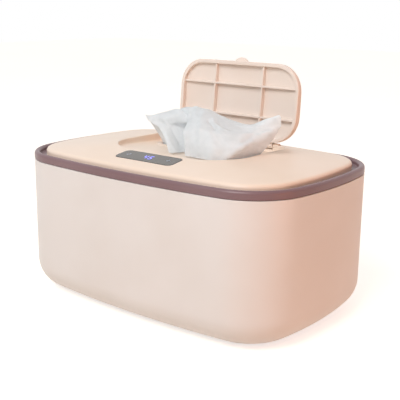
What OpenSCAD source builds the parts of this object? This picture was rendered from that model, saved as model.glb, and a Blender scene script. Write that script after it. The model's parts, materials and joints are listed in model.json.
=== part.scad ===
// Baby wipe warmer: a bowed box with a heated tank, a hinged domed cover, a flip lid over the
// dispensing slot and a touch panel. Millimetres, +Z up, +X along the long side, front at -Y.
// The origin is on the floor under the middle of the body.

/* [Body] */
// Length of the body along X
body_l = 240; // [220:1:270]
// Width of the body, front to back
body_w = 160; // [150:1:180]
// Height of the parting line above the floor
body_h = 102.3; // [90:0.1:130]
// Radius of the body's corners seen from above
corner_r = 42.4; // [38:0.2:48]
// Radius of the bow of the long sides
front_bow_r = 750; // [500:10:1500]
// Radius of the bow of the short sides
side_bow_r = 265; // [220:5:500]
// Radius of the rounded foot of the body
base_round = 22; // [16:0.5:24]
// Wall of the outer shell
shell_wall = 2.4; // [2:0.1:3]
// Width of the shell's top deck, measured inwards from the outline
deck_w = 11; // [10:0.1:11.4]
// Thickness of the shell's top deck
deck_t = 4.4; // [3.6:0.1:6]
// Thickness of the base plate
plate_t = 2.4; // [2:0.1:3.4]

/* [Feet and screws] */
// Height that the rubber feet stand out below the body
foot_out = 1.5; // [1:0.1:2.5]
// Radius of a rubber foot
foot_r = 7; // [5:0.5:8]
// Depth of a foot's seat in the base plate
foot_seat = 0.8; // [0.4:0.1:1.2]
// Shank radius of a case screw
screw_r = 1.3; // [1:0.1:1.6]
// Head radius of a case screw
screw_head_r = 2.7; // [2.4:0.1:3]

/* [Tank] */
// Wall of the inner tank
tank_wall = 1.8; // [1.4:0.1:2.2]
// Depth of the tank below its flange
tank_depth = 74; // [60:1:76]
// Radius between the tank's wall and its floor
tank_round = 6; // [4:0.5:7]
// Thickness of the tank's flange
flange_t = 1.6; // [1.2:0.1:1.8]

/* [Heater] */
// Length of the heat plate
heat_l = 150; // [110:1:160]
// Width of the heat plate
heat_w = 76; // [60:1:84]
// Thickness of the heat plate
heat_t = 1; // [0.6:0.1:1.5]
// Thickness of the insulation pad
pad_t = 4; // [2:0.5:6]

/* [Wipes] */
// Gap between the stack and the tank's end walls
stack_gap_x = 6.8; // [6:0.2:16]
// Gap between the stack and the tank's long walls
stack_gap_y = 18.8; // [17:0.2:28]
// Radius of the stack's upright corners
stack_r = 14; // [10:1:20]
// Height of the stack left in the tank
stack_h = 42; // [20:1:48]
// Thickness of the pulled wipe
wipe_t = 0.8; // [0.5:0.1:1]
// Height of the pulled wipe above the dish's floor
wipe_h = 32; // [24:0.5:40]

/* [Top cover] */
// Gap at the parting line, and between seal and flange
part_gap = 0.3; // [0.2:0.05:0.5]
// Height of the trim ring's crest above its foot
ring_h = 5.8; // [5.4:0.1:7]
// Thickness of the ring's outer wall
ring_wall = 4.4; // [3.6:0.1:4.8]
// Distance of the cover's side wall from the outline
cover_in = 9; // [8:0.1:9.6]
// Height of the dome's edge above the ring's foot
edge_h = 7.85; // [7:0.05:9]
// Rise of the dome above its edge
dome_rise = 7.17; // [6.6:0.01:8]
// Radius of the cover's top edge
edge_r = 3; // [2:0.1:3.6]
// Wall of the cover
cover_wall = 2.2; // [1.8:0.1:2.6]

/* [Dish] */
// Length of the dish along X
dish_l = 113.4; // [106:0.2:118]
// Distance of the dish's rear edge inside the body's outline
dish_rear_in = 29.95; // [29.5:0.05:31]
// Land between the panel and the dish
panel_land = 4.65; // [3.9:0.05:6]
// Radius of the dish's corners
dish_r = 22; // [18:0.5:26]
// Slope of the dish's floor, falling to the rear
dish_tilt = 3.4; // [2.6:0.1:4]
// Depth of the dish below the dome at its middle
dish_depth = 7.2; // [6.6:0.1:7.6]
// Thickness of the dish's floor
dish_floor_t = 1.8; // [1.4:0.1:2.2]

/* [Flip lid] */
// Gap around the closed flip lid in the dish
flip_side_gap = 0.6; // [0.4:0.1:1]
// Gap between the closed flip lid's rim and the dish's floor
flip_floor_gap = 1; // [0.8:0.1:1.2]
// Width of the flip lid, front to back
flip_w = 59.5; // [54:0.5:64]
// Thickness of the flip lid's skin
flip_skin = 1.6; // [1.2:0.1:2]
// Width of the flip lid's rim
flip_rim = 3; // [2.4:0.1:3.6]
// Thickness of the flip lid's ribs
rib_t = 1.5; // [1:0.1:2]
// Distance of the long ribs from the flip lid's axis of symmetry
rib_x = 22.5; // [18:0.5:26]
// Distance between the two cross ribs
rib_pitch = 23.5; // [18:0.5:28]
// Angle between the closed flip lid and its stop
flip_open = 92.4; // [85:0.2:96]
// Width of the finger tab
tab_w = 12.5; // [10:0.5:16]
// Reach of the finger tab
tab_out = 3; // [2:0.5:4]
// Radius of the flip lid's barrel
barrel_r = 2.4; // [2.2:0.1:2.5]
// Radius of the flip lid's pin
flip_pin_r = 1.2; // [0.8:0.1:1.4]
// Width of one ear of the flip hinge
ear_w = 5; // [3.5:0.5:6]

/* [Dispensing slot] */
// Length of the slot in the dish
slot_l = 92; // [80:1:96]
// Width of the slot in the dish
slot_w = 21; // [18:0.5:22]
// Distance of the slot's middle from the dish's rear edge
slot_in = 32.05; // [31:0.05:33]
// Thickness of the soft collar
collar_t = 1.4; // [1:0.1:2]
// Height of the collar's lip above the dish floor
lip_h = 0.7; // [0.4:0.1:0.9]

/* [Control panel] */
// Length of the panel
panel_l = 52.6; // [46:0.2:58]
// Width of the panel
panel_w = 16; // [14:0.2:17]
// Radius of the panel's corners
panel_r = 4.4; // [2:0.2:6]
// Distance of the panel's middle inside the body's outline
panel_in = 29.3; // [28.8:0.1:30.2]
// Thickness of the panel window
window_t = 1.6; // [1.2:0.1:2]
// Height of a digit
digit_h = 6; // [5:0.2:8]

/* [Rear hinge] */
// Distance of the hinge axis inside the rear outline
hinge_in = 0.7; // [0.5:0.1:1.2]
// Radius of the hinge knuckles
knuckle_r = 3; // [2.8:0.1:3.2]
// Radius of the hinge pin
hinge_pin_r = 1.5; // [1:0.1:1.8]
// Half of the hinge notch's length
notch_half = 39.5; // [39:0.5:44]
// Clearance between a pin and its bore
pin_clear = 0.05; // [0.03:0.01:0.08]

/* [Power inlet] */
// X of the inlet
jack_x = -70; // [-76:1:-55]
// Height of the inlet
jack_z = 24; // [22:0.5:30]
// Bore radius for the plug
jack_bore_r = 2.8; // [2.6:0.05:3]
// Radius of the inlet's housing
jack_r = 5; // [4.4:0.1:5.4]

/* [Hidden] */
$fn = 48;

// Outline of the body: side arc, corner arc and long arc of one quarter, mirrored twice
half_l = body_l / 2;
half_w = body_w / 2;
side_steps = 4;
corner_steps = 8;
front_steps = 5;
front_centre = [0, half_w - front_bow_r];
side_centre = [half_l - side_bow_r, 0];
corner = circles_meet(front_centre, front_bow_r - corner_r, side_centre, side_bow_r - corner_r);
side_turn = angle_of(corner - side_centre);
corner_turn = angle_of(corner - front_centre);

function angle_of(v) = atan2(v[1], v[0]);
// Meeting point, in the positive quarter, of circle m round p and circle n round q
function circles_meet(p, m, q, n) =
    let (d = norm(q - p), e = (q - p) / d, t = (m * m - n * n + d * d) / (2 * d),
         h = sqrt(m * m - t * t), s = p + t * e, u = s + h * [-e[1], e[0]], v = s - h * [-e[1], e[0]])
    u[0] + u[1] > v[0] + v[1] ? u : v;
function arc_point(c, r, a) = c + r * [cos(a), sin(a)];
// One quarter of the outline moved inwards by d
function quarter(d) = concat(
    [for (i = [0:side_steps]) arc_point(side_centre, side_bow_r - d, side_turn * i / side_steps)],
    [for (i = [1:corner_steps]) arc_point(corner, corner_r - d,
        side_turn + (corner_turn - side_turn) * i / corner_steps)],
    [for (i = [1:front_steps]) arc_point(front_centre, front_bow_r - d,
        corner_turn + (90 - corner_turn) * i / front_steps)]);
function outline(d) =
    let (q = quarter(d), n = len(q))
    concat(q,
        [for (i = [n - 2:-1:0]) [-q[i][0], q[i][1]]],
        [for (i = [1:n - 1]) [-q[i][0], -q[i][1]]],
        [for (i = [n - 2:-1:1]) [q[i][0], -q[i][1]]]);
// Y of the rear outline at x
function rear_y(x) = front_centre[1] + sqrt(front_bow_r * front_bow_r - x * x);
// Distance inwards of a quarter-round foot of radius r, at height h above its bottom
function foot_inset(r, h) = h >= r ? 0 : r - sqrt(r * r - (r - h) * (r - h));

function ring_at(d, z) = [for (p = outline(d)) [p[0], p[1], z]];
function scaled_ring(d, s, z) = [for (p = outline(d)) [p[0] * s, p[1] * s, z]];

// Solid through a stack of rings with the same number of points
module skin(rings) {
    n = len(rings[0]);
    m = len(rings);
    polyhedron(
        points = [for (ring = rings) each ring],
        faces = concat(
            [[for (i = [0:n - 1]) i]],
            [for (k = [0:m - 2], i = [0:n - 1]) [k * n + i, (k + 1) * n + i, k * n + (i + 1) % n]],
            [for (k = [0:m - 2], i = [0:n - 1])
                [(k + 1) * n + i, (k + 1) * n + (i + 1) % n, k * n + (i + 1) % n]],
            [[for (i = [n - 1:-1:0]) (m - 1) * n + i]]),
        convexity = 6);
}
// Closed band: the profile's points [inset, z] carried round the outline
module band(profile) {
    rings = [for (p = profile) ring_at(p[0], p[1])];
    n = len(rings[0]);
    m = len(rings);
    polyhedron(
        points = [for (ring = rings) each ring],
        faces = concat(
            [for (k = [0:m - 1], i = [0:n - 1])
                [k * n + i, ((k + 1) % m) * n + i, k * n + (i + 1) % n]],
            [for (k = [0:m - 1], i = [0:n - 1])
                [((k + 1) % m) * n + i, ((k + 1) % m) * n + (i + 1) % n, k * n + (i + 1) % n]]),
        convexity = 8);
}
module slab(d, z0, z1) {
    translate([0, 0, z0]) linear_extrude(z1 - z0) polygon(outline(d));
}
// Rounded rectangle of l by w
function rounded(l, w, r, n = 8) = [for (q = [0:3], i = [0:n])
    let (a = 90 * q + 90 * i / n, sx = q == 0 || q == 3 ? 1 : -1, sy = q < 2 ? 1 : -1)
    [sx * (l / 2 - r) + r * cos(a), sy * (w / 2 - r) + r * sin(a)]];
module plate(l, w, r, t) {
    linear_extrude(t) polygon(rounded(l, w, r));
}
module block(x0, x1, y0, y1, z0, z1) {
    translate([x0, y0, z0]) cube([x1 - x0, y1 - y0, z1 - z0]);
}
module x_rod(r, x0, x1) {
    translate([x0, 0, 0]) rotate([0, 90, 0]) cylinder(r = r, h = x1 - x0);
}
// Round tube along a list of points, each ring in the plane that halves the bend
module tube(path, r, sides = 8) {
    m = len(path);
    dir = [for (i = [0:m - 1])
        let (v = path[min(i + 1, m - 1)] - path[max(i - 1, 0)]) v / norm(v)];
    function across(d) = abs(d[2]) > 0.9 ? [1, 0, 0] : let (c = cross([0, 0, 1], d)) c / norm(c);
    rings = [for (i = [0:m - 1])
        let (u = across(dir[i]), w = cross(dir[i], u))
        [for (j = [0:sides - 1]) path[i] + r * (cos(360 * j / sides) * u + sin(360 * j / sides) * w)]];
    polyhedron(
        points = [for (ring = rings) each ring],
        faces = concat(
            [[for (j = [0:sides - 1]) j]],
            [for (k = [0:m - 2], j = [0:sides - 1])
                [k * sides + j, (k + 1) * sides + j, (k + 1) * sides + (j + 1) % sides,
                 k * sides + (j + 1) % sides]],
            [[for (j = [sides - 1:-1:0]) (m - 1) * sides + j]]),
        convexity = 6);
}

// Heights of the body, from the floor up
floor_z = foot_out;
plate_top = floor_z + plate_t;
deck_z = body_h - deck_t;
flange_in = 7.6;
flange_gap = 0.4;
flange_recess = 2;
flange_z = body_h - flange_recess;
tank_in = deck_w + flange_gap;
tank_under = flange_z - tank_depth;
tank_inner = tank_in + tank_wall;
tank_floor = tank_under + tank_wall;
plate_in = base_round + 2;
plate_gap = 0.3;
ledge_t = 2;
ledge_in = base_round + 8;
boss_in = base_round + 5;
boss_r = 4;
boss_h = 10;
diagonal = [cos(45), sin(45)];
function corner_spot(d) = corner + (corner_r - d) * diagonal;
boss_spot = corner_spot(boss_in);

// Rear hinge: axis in the middle of the parting gap
hinge_y = half_w - hinge_in;
hinge_z = body_h + part_gap / 2;
notch_in = 5;
notch_y = half_w - notch_in;
notch_wall = 2;
notch_z = hinge_z - knuckle_r - 4.4;
notch_floor_t = 4;
knuckle_gap = 0.3;
mid_knuckle = 9;
base_knuckle = [mid_knuckle + knuckle_gap, 20];
side_knuckle = [notch_half - 11.5, notch_half - 1];
ribbon_x = (base_knuckle[1] + side_knuckle[0]) / 2;
ribbon_w = 5.6;
ribbon_t = 0.5;
hinge_bore_r = hinge_pin_r + pin_clear;

// Cover: heights follow the parting line
ring_z = body_h + part_gap;
ring_floor_t = 2;
ring_floor = ring_z + ring_floor_t;
ring_in = 17;
crest_z = ring_z + ring_h;
seal_in = [8.6, 10.9];
seal_groove = 1.4;
edge_turn = 78;
dome_in = cover_in + edge_r * (1 - cos(edge_turn));
edge_z = ring_z + edge_h;
dome_half_w = half_w - dome_in;
dome_steps = 7;
// Height of the dome above the middle line x = 0
function dome_z(y) = edge_z + dome_rise * (1 - (y / dome_half_w) * (y / dome_half_w));
function dome_slope(y) = atan(-2 * dome_rise * y / (dome_half_w * dome_half_w));
skin_drop = 2.4;
liner_in = tank_inner + 0.6;
liner_t = 1.8;
liner_z = ring_z - liner_t;
lid_boss_in = 21;
lid_boss_r = 3.2;
lid_boss_top = edge_z + 0.4;
lid_spots = concat(
    [for (sx = [-1, 1], sy = [-1, 1])
        let (p = corner_spot(lid_boss_in)) [sx * p[0], sy * p[1]]],
    [for (sx = [-1, 1]) [sx * (half_l - lid_boss_in), 0]]);

// Dish: its floor falls to the rear
panel_y = panel_in - half_w;
dish_front = panel_y + panel_w / 2 + panel_land;
dish_rear = half_w - dish_rear_in;
dish_w = dish_rear - dish_front;
dish_y = (dish_rear + dish_front) / 2;
slot_y = dish_rear - slot_in;
dish_floor = dome_z(dish_y) - dish_depth;
function floor_at(y) = dish_floor - (y - dish_y) * tan(dish_tilt);
module dish_frame() {
    translate([0, dish_y, dish_floor]) rotate([-dish_tilt, 0, 0]) children();
}

// Flip lid and its hinge
flip_l = dish_l - 2 * flip_side_gap;
flip_r = dish_r - 1.3;
flip_rear = dish_rear - flip_side_gap;
flip_mid = flip_rear - flip_w / 2;
axis_back = 2.4;
axis_drop = 1.3;
axis_y = flip_rear + axis_back;
axis_z = dome_z(flip_rear) - axis_drop;
barrel_half = flip_l / 2 - flip_r + 0.6;
trough_gap = 0.5;
trough_r = barrel_r + trough_gap;
ear_gap = 0.4;
ear_x = barrel_half + ear_gap;
ear_r = axis_back - 0.35;
flip_bore_r = flip_pin_r + pin_clear;
rib_lift = 0.9;
module flip_frame() {
    translate([0, flip_mid, floor_at(flip_mid) + flip_floor_gap]) rotate([-dish_tilt, 0, 0]) children();
}
// Turns what is drawn closed about the flip hinge to its stop
module opened() {
    translate([0, axis_y, axis_z]) rotate([-flip_open, 0, 0]) translate([0, -axis_y, -axis_z]) children();
}

// Panel: lies in the dome's slope
panel_z = dome_z(panel_y);
panel_tilt = dome_slope(panel_y);
panel_gap = 0.15;
board_l = panel_l + 8;
board_w = 20;
board_t = 1.6;
board_z = ring_z + 2.6;
module panel_frame() {
    translate([0, panel_y, panel_z]) rotate([panel_tilt, 0, 0]) children();
}

// Inlet
jack_y = rear_y(-jack_x) - 2.2;
jack_len = 10;
jack_boss_r = jack_r + 2.4;

// Filleted outer form of the shell, also its cavity when drawn in by the wall
module tub(wall, top) {
    r = base_round - wall;
    cz = floor_z + base_round;
    skin(concat(
        [for (a = [-90:15:0]) ring_at(wall + r * (1 - cos(a)), cz + r * sin(a))],
        [ring_at(wall, top)]));
}
module base_knuckles() {
    for (x = [base_knuckle, [-base_knuckle[1], -base_knuckle[0]]]) {
        translate([0, hinge_y, hinge_z]) x_rod(knuckle_r, x[0], x[1]);
        block(x[0], x[1], hinge_y - knuckle_r, half_w - 0.4, notch_z - 0.5, hinge_z);
    }
}
module outer_shell() {
    color([0.93, 0.88, 0.84]) difference() {
        union() {
            difference() {
                tub(0, body_h);
                tub(shell_wall, deck_z);
                slab(deck_w, deck_z - 1, body_h + 1);
                slab(flange_in - 0.3, flange_z, body_h + 1);
                slab(plate_in, floor_z - 1, plate_top + 0.5);
                block(-notch_half, notch_half, notch_y, half_w + 5, notch_z, body_h + 1);
            }
            difference() {
                slab(foot_inset(base_round, plate_t) + 0.6, plate_top, plate_top + ledge_t);
                slab(ledge_in, plate_top - 1, plate_top + ledge_t + 1);
            }
            block(-notch_half - notch_wall, notch_half + notch_wall, half_w - flange_in + 0.3,
                rear_y(notch_half + notch_wall) - 1, notch_z - notch_floor_t, notch_z);
            block(-notch_half - notch_wall, notch_half + notch_wall, half_w - flange_in + 0.3,
                notch_y, notch_z - 1, deck_z + 1);
            for (sx = [-1, 1], sy = [-1, 1])
                translate([sx * boss_spot[0], sy * boss_spot[1], plate_top]) cylinder(r = boss_r, h = boss_h);
            translate([jack_x, jack_y + 1, jack_z]) rotate([90, 0, 0]) cylinder(r = jack_boss_r, h = 5);
            base_knuckles();
        }
        for (sx = [-1, 1], sy = [-1, 1]) translate([sx * boss_spot[0], sy * boss_spot[1], plate_top - 1])
            cylinder(r = screw_r, h = boss_h);
        translate([jack_x, half_w + 5, jack_z]) rotate([90, 0, 0]) cylinder(r = jack_r + 0.05, h = 30);
        at_magnets(deck_z - 1) cylinder(r = magnet_r, h = magnet_t + 1.1);
        translate([0, hinge_y, hinge_z]) x_rod(hinge_bore_r, -notch_half, notch_half);
        block(ribbon_x - ribbon_w / 2 - 0.2, ribbon_x + ribbon_w / 2 + 0.2, half_w - flange_in - 1,
            notch_y + 1, notch_z + 0.6, notch_z + 0.6 + ribbon_t + 0.4);
    }
}
vent_l = 24;
vent_w = 3;
vent_pitch = 9;
module base_plate() {
    color([0.9, 0.86, 0.82]) difference() {
        slab(plate_in + plate_gap, floor_z, plate_top);
        for (sx = [-1, 1], sy = [-1, 1]) {
            translate([sx * boss_spot[0], sy * boss_spot[1], floor_z - 1]) {
                cylinder(r = screw_r + 0.3, h = plate_t + 2);
                cylinder(r = screw_head_r + 0.3, h = 2.4);
            }
            translate([sx * corner[0], sy * corner[1], floor_z - 1]) cylinder(r = foot_r, h = 1 + foot_seat);
        }
        for (i = [-3:3]) translate([i * vent_pitch, 0, 0])
            block(-vent_w / 2, vent_w / 2, -vent_l / 2, vent_l / 2, floor_z - 1, plate_top + 1);
    }
}
// Cross slot of a screw head, from z upwards
module cross_slot(z, depth) {
    arm = 1.6;
    half = 0.4;
    block(-arm, arm, -half, half, z, z + depth);
    block(-half, half, -arm, arm, z, z + depth);
}
module base_screws() {
    color([0.7, 0.7, 0.72])
        for (sx = [-1, 1], sy = [-1, 1]) translate([sx * boss_spot[0], sy * boss_spot[1], 0]) difference() {
            union() {
                translate([0, 0, floor_z + 0.2]) cylinder(r = screw_head_r, h = 1.2);
                translate([0, 0, floor_z + 1]) cylinder(r = screw_r, h = plate_t + boss_h - 3.2);
            }
            cross_slot(floor_z, 0.8);
        }
}
module rubber_feet() {
    color([0.35, 0.33, 0.33])
        for (sx = [-1, 1], sy = [-1, 1]) translate([sx * corner[0], sy * corner[1], 0])
            rotate_extrude() polygon([[0, 0], [foot_r - 0.8, 0], [foot_r, 0.8],
                [foot_r, floor_z + foot_seat], [0, floor_z + foot_seat]]);
}
module inner_tank() {
    outer_r = tank_round + tank_wall;
    color([0.95, 0.94, 0.92]) difference() {
        union() {
            skin(concat(
                [for (a = [-90:22.5:0]) ring_at(tank_in + outer_r * (1 - cos(a)),
                    tank_under + outer_r * (1 + sin(a)))],
                [ring_at(tank_in, flange_z + flange_t)]));
            slab(flange_in, flange_z, flange_z + flange_t);
        }
        skin(concat(
            [for (a = [-90:22.5:0]) ring_at(tank_inner + tank_round * (1 - cos(a)),
                tank_floor + tank_round * (1 + sin(a)))],
            [ring_at(tank_inner, flange_z + flange_t + 1)]));
    }
}
film_t = 0.4;
film_z = tank_under - heat_t - film_t;
pad_z = film_z - pad_t;
module heat_plate() {
    color([0.8, 0.82, 0.84]) translate([0, 0, tank_under - heat_t]) plate(heat_l, heat_w, 8, heat_t);
}
module heating_film() {
    margin = 6;
    color([0.8, 0.5, 0.15]) translate([0, 0, film_z])
        plate(heat_l - 2 * margin, heat_w - 2 * margin, 4, film_t);
}
module insulation_pad() {
    color([0.75, 0.75, 0.78]) translate([0, 0, pad_z]) difference() {
        plate(heat_l, heat_w, 8, pad_t);
        translate([sensor_x, 0, -1]) cylinder(r = 4, h = pad_t + 2);
        translate([-sensor_x, 0, -1]) cylinder(r = 7.5, h = pad_t + 2);
    }
}
sensor_x = 40;
module temperature_sensor() {
    color([0.2, 0.2, 0.22]) translate([sensor_x, 0, film_z - 2.2]) {
        cylinder(r = 2.6, h = 2.2);
        translate([0, 0, -1.2]) cylinder(r = 1, h = 1.4);
    }
}
module thermal_fuse() {
    color([0.85, 0.8, 0.7]) translate([-sensor_x - 5, 0, film_z - 2.4]) x_rod(2.3, 0, 10);
}
// Power board on four posts of the base plate
power_l = 58;
power_w = 34;
power_z = plate_top + 4;
power_y = -6;
part_h = 5;
chip_w = 10;
plug_x = [-power_l * 0.38, -power_l * 0.21];
relay_x = [power_l * 0.24, power_l * 0.41];
function power_spot(sx, sy) = [sx * (power_l / 2 - 4), power_y + sy * (power_w / 2 - 4)];
module board_posts() {
    color([0.9, 0.86, 0.82]) for (sx = [-1, 1], sy = [-1, 1])
        let (p = power_spot(sx, sy)) translate([p[0], p[1], plate_top]) {
            cylinder(r = 2.4, h = power_z - plate_top);
            cylinder(r = 1.2, h = power_z - plate_top + board_t);
        }
}
module power_board() {
    color([0.1, 0.4, 0.25]) difference() {
        translate([0, power_y, power_z]) plate(power_l, power_w, 2, board_t);
        for (sx = [-1, 1], sy = [-1, 1])
            let (p = power_spot(sx, sy)) translate([p[0], p[1], power_z - 1]) cylinder(r = 1.25, h = 4);
    }
}
module power_parts() {
    color([0.25, 0.25, 0.28]) translate([0, power_y, power_z + board_t]) {
        block(plug_x[0], plug_x[1], -chip_w * 0.6, chip_w * 0.6, 0, part_h);
        block(relay_x[0], relay_x[1], -chip_w / 2, chip_w / 2, 0, part_h / 2);
        translate([0, power_w * 0.06, 0]) cylinder(r = chip_w * 0.4, h = part_h);
        block(-chip_w * 0.4, chip_w * 0.6, -power_w * 0.36, -power_w * 0.18, 0, part_h / 3);
    }
}
module dc_jack() {
    color([0.15, 0.15, 0.16]) translate([jack_x, jack_y, jack_z]) rotate([90, 0, 0]) {
        difference() {
            cylinder(r = jack_r, h = jack_len);
            translate([0, 0, -1]) cylinder(r = jack_bore_r, h = jack_len - 1);
        }
        translate([0, 0, 1]) cylinder(r = 1, h = jack_len - 1.5);
    }
}
// Wires of the base: inlet to board, board to heating film
wire_r = 1;
wire_y = half_w - tank_in + 2;
module base_wires() {
    z = power_z + board_t + 1.2;
    color([0.75, 0.15, 0.15]) {
        tube([[jack_x, jack_y - jack_len - 0.05, jack_z], [jack_x, jack_y - jack_len - 2, jack_z],
              [jack_x + 1, jack_y - jack_len - 6, jack_z - 4], [jack_x + 6, half_w * 0.57, jack_z - 9],
              [jack_x + 16, half_w * 0.35, z + 1], [plug_x[0] - 18, half_w * 0.1, z + 1],
              [plug_x[0] - 6, power_y, z + 1], [plug_x[0] - 0.1, power_y, z + 1]], wire_r);
        tube([[relay_x[1] + 0.1, power_y, z], [relay_x[1] + 8, power_y, z],
              [heat_l / 2 + 4, power_y / 2, z + 1], [heat_l / 2 + 6, 0, film_z - 4],
              [heat_l / 2 + 3, 0, film_z - 0.9],
              [heat_l / 2 + 0.5, 0, film_z - 0.4]], wire_r * 0.5);
        tube([[ribbon_x, wire_y + 0.9, ribbon_low], [ribbon_x, wire_y, ribbon_low - 1.6],
              [ribbon_x, wire_y, deck_z * 0.6], [ribbon_x, wire_y, deck_z * 0.25],
              [ribbon_x, wire_y - 8, z + 1.6], [ribbon_x, half_w * 0.45, z + 1],
              [relay_x[0] + 6, half_w * 0.1, z + 1],
              [relay_x[0] + 5, power_y + chip_w / 2 + 0.4, z]], wire_r * 0.9);
    }
}
stack_l = body_l - 2 * (tank_inner + stack_gap_x);
stack_w = body_w - 2 * (tank_inner + stack_gap_y);
module wipe_stack() {
    soft = 3;
    color([0.96, 0.96, 0.96]) translate([0, 0, tank_floor + 0.3])
        skin([for (p = [[soft, 0], [0, soft], [0, stack_h - soft], [soft, stack_h]])
            [for (q = rounded(stack_l - 2 * p[0], stack_w - 2 * p[0], stack_r - p[0])) [q[0], q[1], p[1]]]]);
}
// Closing magnets: in a pocket of the deck and in one of the ring, one above the other
magnet_r = 1.8;
magnet_t = 1.5;
magnet_spot = corner_spot(4.8);
module at_magnets(z) {
    for (s = [-1, 1]) translate([s * magnet_spot[0], -magnet_spot[1], z]) children();
}
module base_magnets() {
    color([0.6, 0.6, 0.62]) at_magnets(deck_z + 0.1) cylinder(r = magnet_r, h = magnet_t);
}
module hinge_pin() {
    color([0.75, 0.75, 0.77]) translate([0, hinge_y, hinge_z])
        x_rod(hinge_pin_r, -side_knuckle[1] + 0.5, side_knuckle[1] - 0.5);
}

// Flat cable that bends in the notch when the cover opens
ribbon_low = notch_z + 0.8;
ribbon_high = ring_floor + 0.1;
ribbon_y = notch_y + 1.3;
ribbon_front = half_w - ring_in - 1;
module hinge_ribbon() {
    bend = 0.8;
    zs = [ribbon_low + ribbon_t / 2, ribbon_high + ribbon_t / 2];
    mid = concat(
        [[half_w - flange_in - 0.2, zs[0]]],
        [for (a = [0:30:90]) [ribbon_y - bend + bend * sin(a), zs[0] + bend - bend * cos(a)]],
        [for (a = [0:30:90]) [ribbon_y - bend + bend * cos(a), zs[1] - bend + bend * sin(a)]],
        [[ribbon_front, zs[1]]]);
    m = len(mid);
    side = [for (i = [0:m - 1])
        let (v = mid[min(i + 1, m - 1)] - mid[max(i - 1, 0)], u = v / norm(v)) [-u[1], u[0]] * ribbon_t / 2];
    color([0.85, 0.85, 0.85]) translate([ribbon_x + ribbon_w / 2, 0, 0]) rotate([90, 0, -90])
        linear_extrude(ribbon_w)
            polygon(concat([for (i = [0:m - 1]) [-mid[i][0] - side[i][0], mid[i][1] + side[i][1]]],
                [for (i = [m - 1:-1:0]) [-mid[i][0] + side[i][0], mid[i][1] - side[i][1]]]));
}

// Ring: outer wall with a full round crest, floor under the cover, groove for the seal
module trim_ring() {
    round_r = ring_wall / 2;
    round_z = crest_z - round_r;
    color([0.55, 0.44, 0.46]) difference() {
        union() {
            difference() {
                band(concat(
                    [[0, ring_z]],
                    [for (a = [0:30:180]) [round_r - round_r * cos(a), round_z + round_r * sin(a)]],
                    [[ring_wall, ring_floor], [ring_in, ring_floor], [ring_in, ring_z],
                     [seal_in[1], ring_z], [seal_in[1], ring_z + seal_groove],
                     [seal_in[0], ring_z + seal_groove], [seal_in[0], ring_z]]));
                block(-notch_half, notch_half, notch_y, half_w + 5, ring_z - 1, crest_z + 1);
            }
            block(-notch_half - notch_wall, notch_half + notch_wall, notch_y - notch_wall, notch_y,
                ring_floor - 1, crest_z - 0.6);
            for (x = [[-mid_knuckle, mid_knuckle], side_knuckle, [-side_knuckle[1], -side_knuckle[0]]]) {
                translate([0, hinge_y, hinge_z]) x_rod(knuckle_r, x[0], x[1]);
                block(x[0], x[1], notch_y - 1, hinge_y, ring_z, hinge_z + knuckle_r);
            }
        }
        translate([0, hinge_y, hinge_z]) x_rod(hinge_bore_r, -notch_half, notch_half);
        ribbon_slot(notch_y - 4, notch_y + 1);
        at_magnets(ring_z - 1) cylinder(r = magnet_r, h = magnet_t + 1.1);
    }
}
// Way of the ribbon cable over the ring's floor, from y0 to y1
module ribbon_slot(y0, y1) {
    block(ribbon_x - ribbon_w / 2 - 0.2, ribbon_x + ribbon_w / 2 + 0.2, y0, y1,
        ring_floor, ribbon_high + ribbon_t + 0.2);
}
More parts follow.
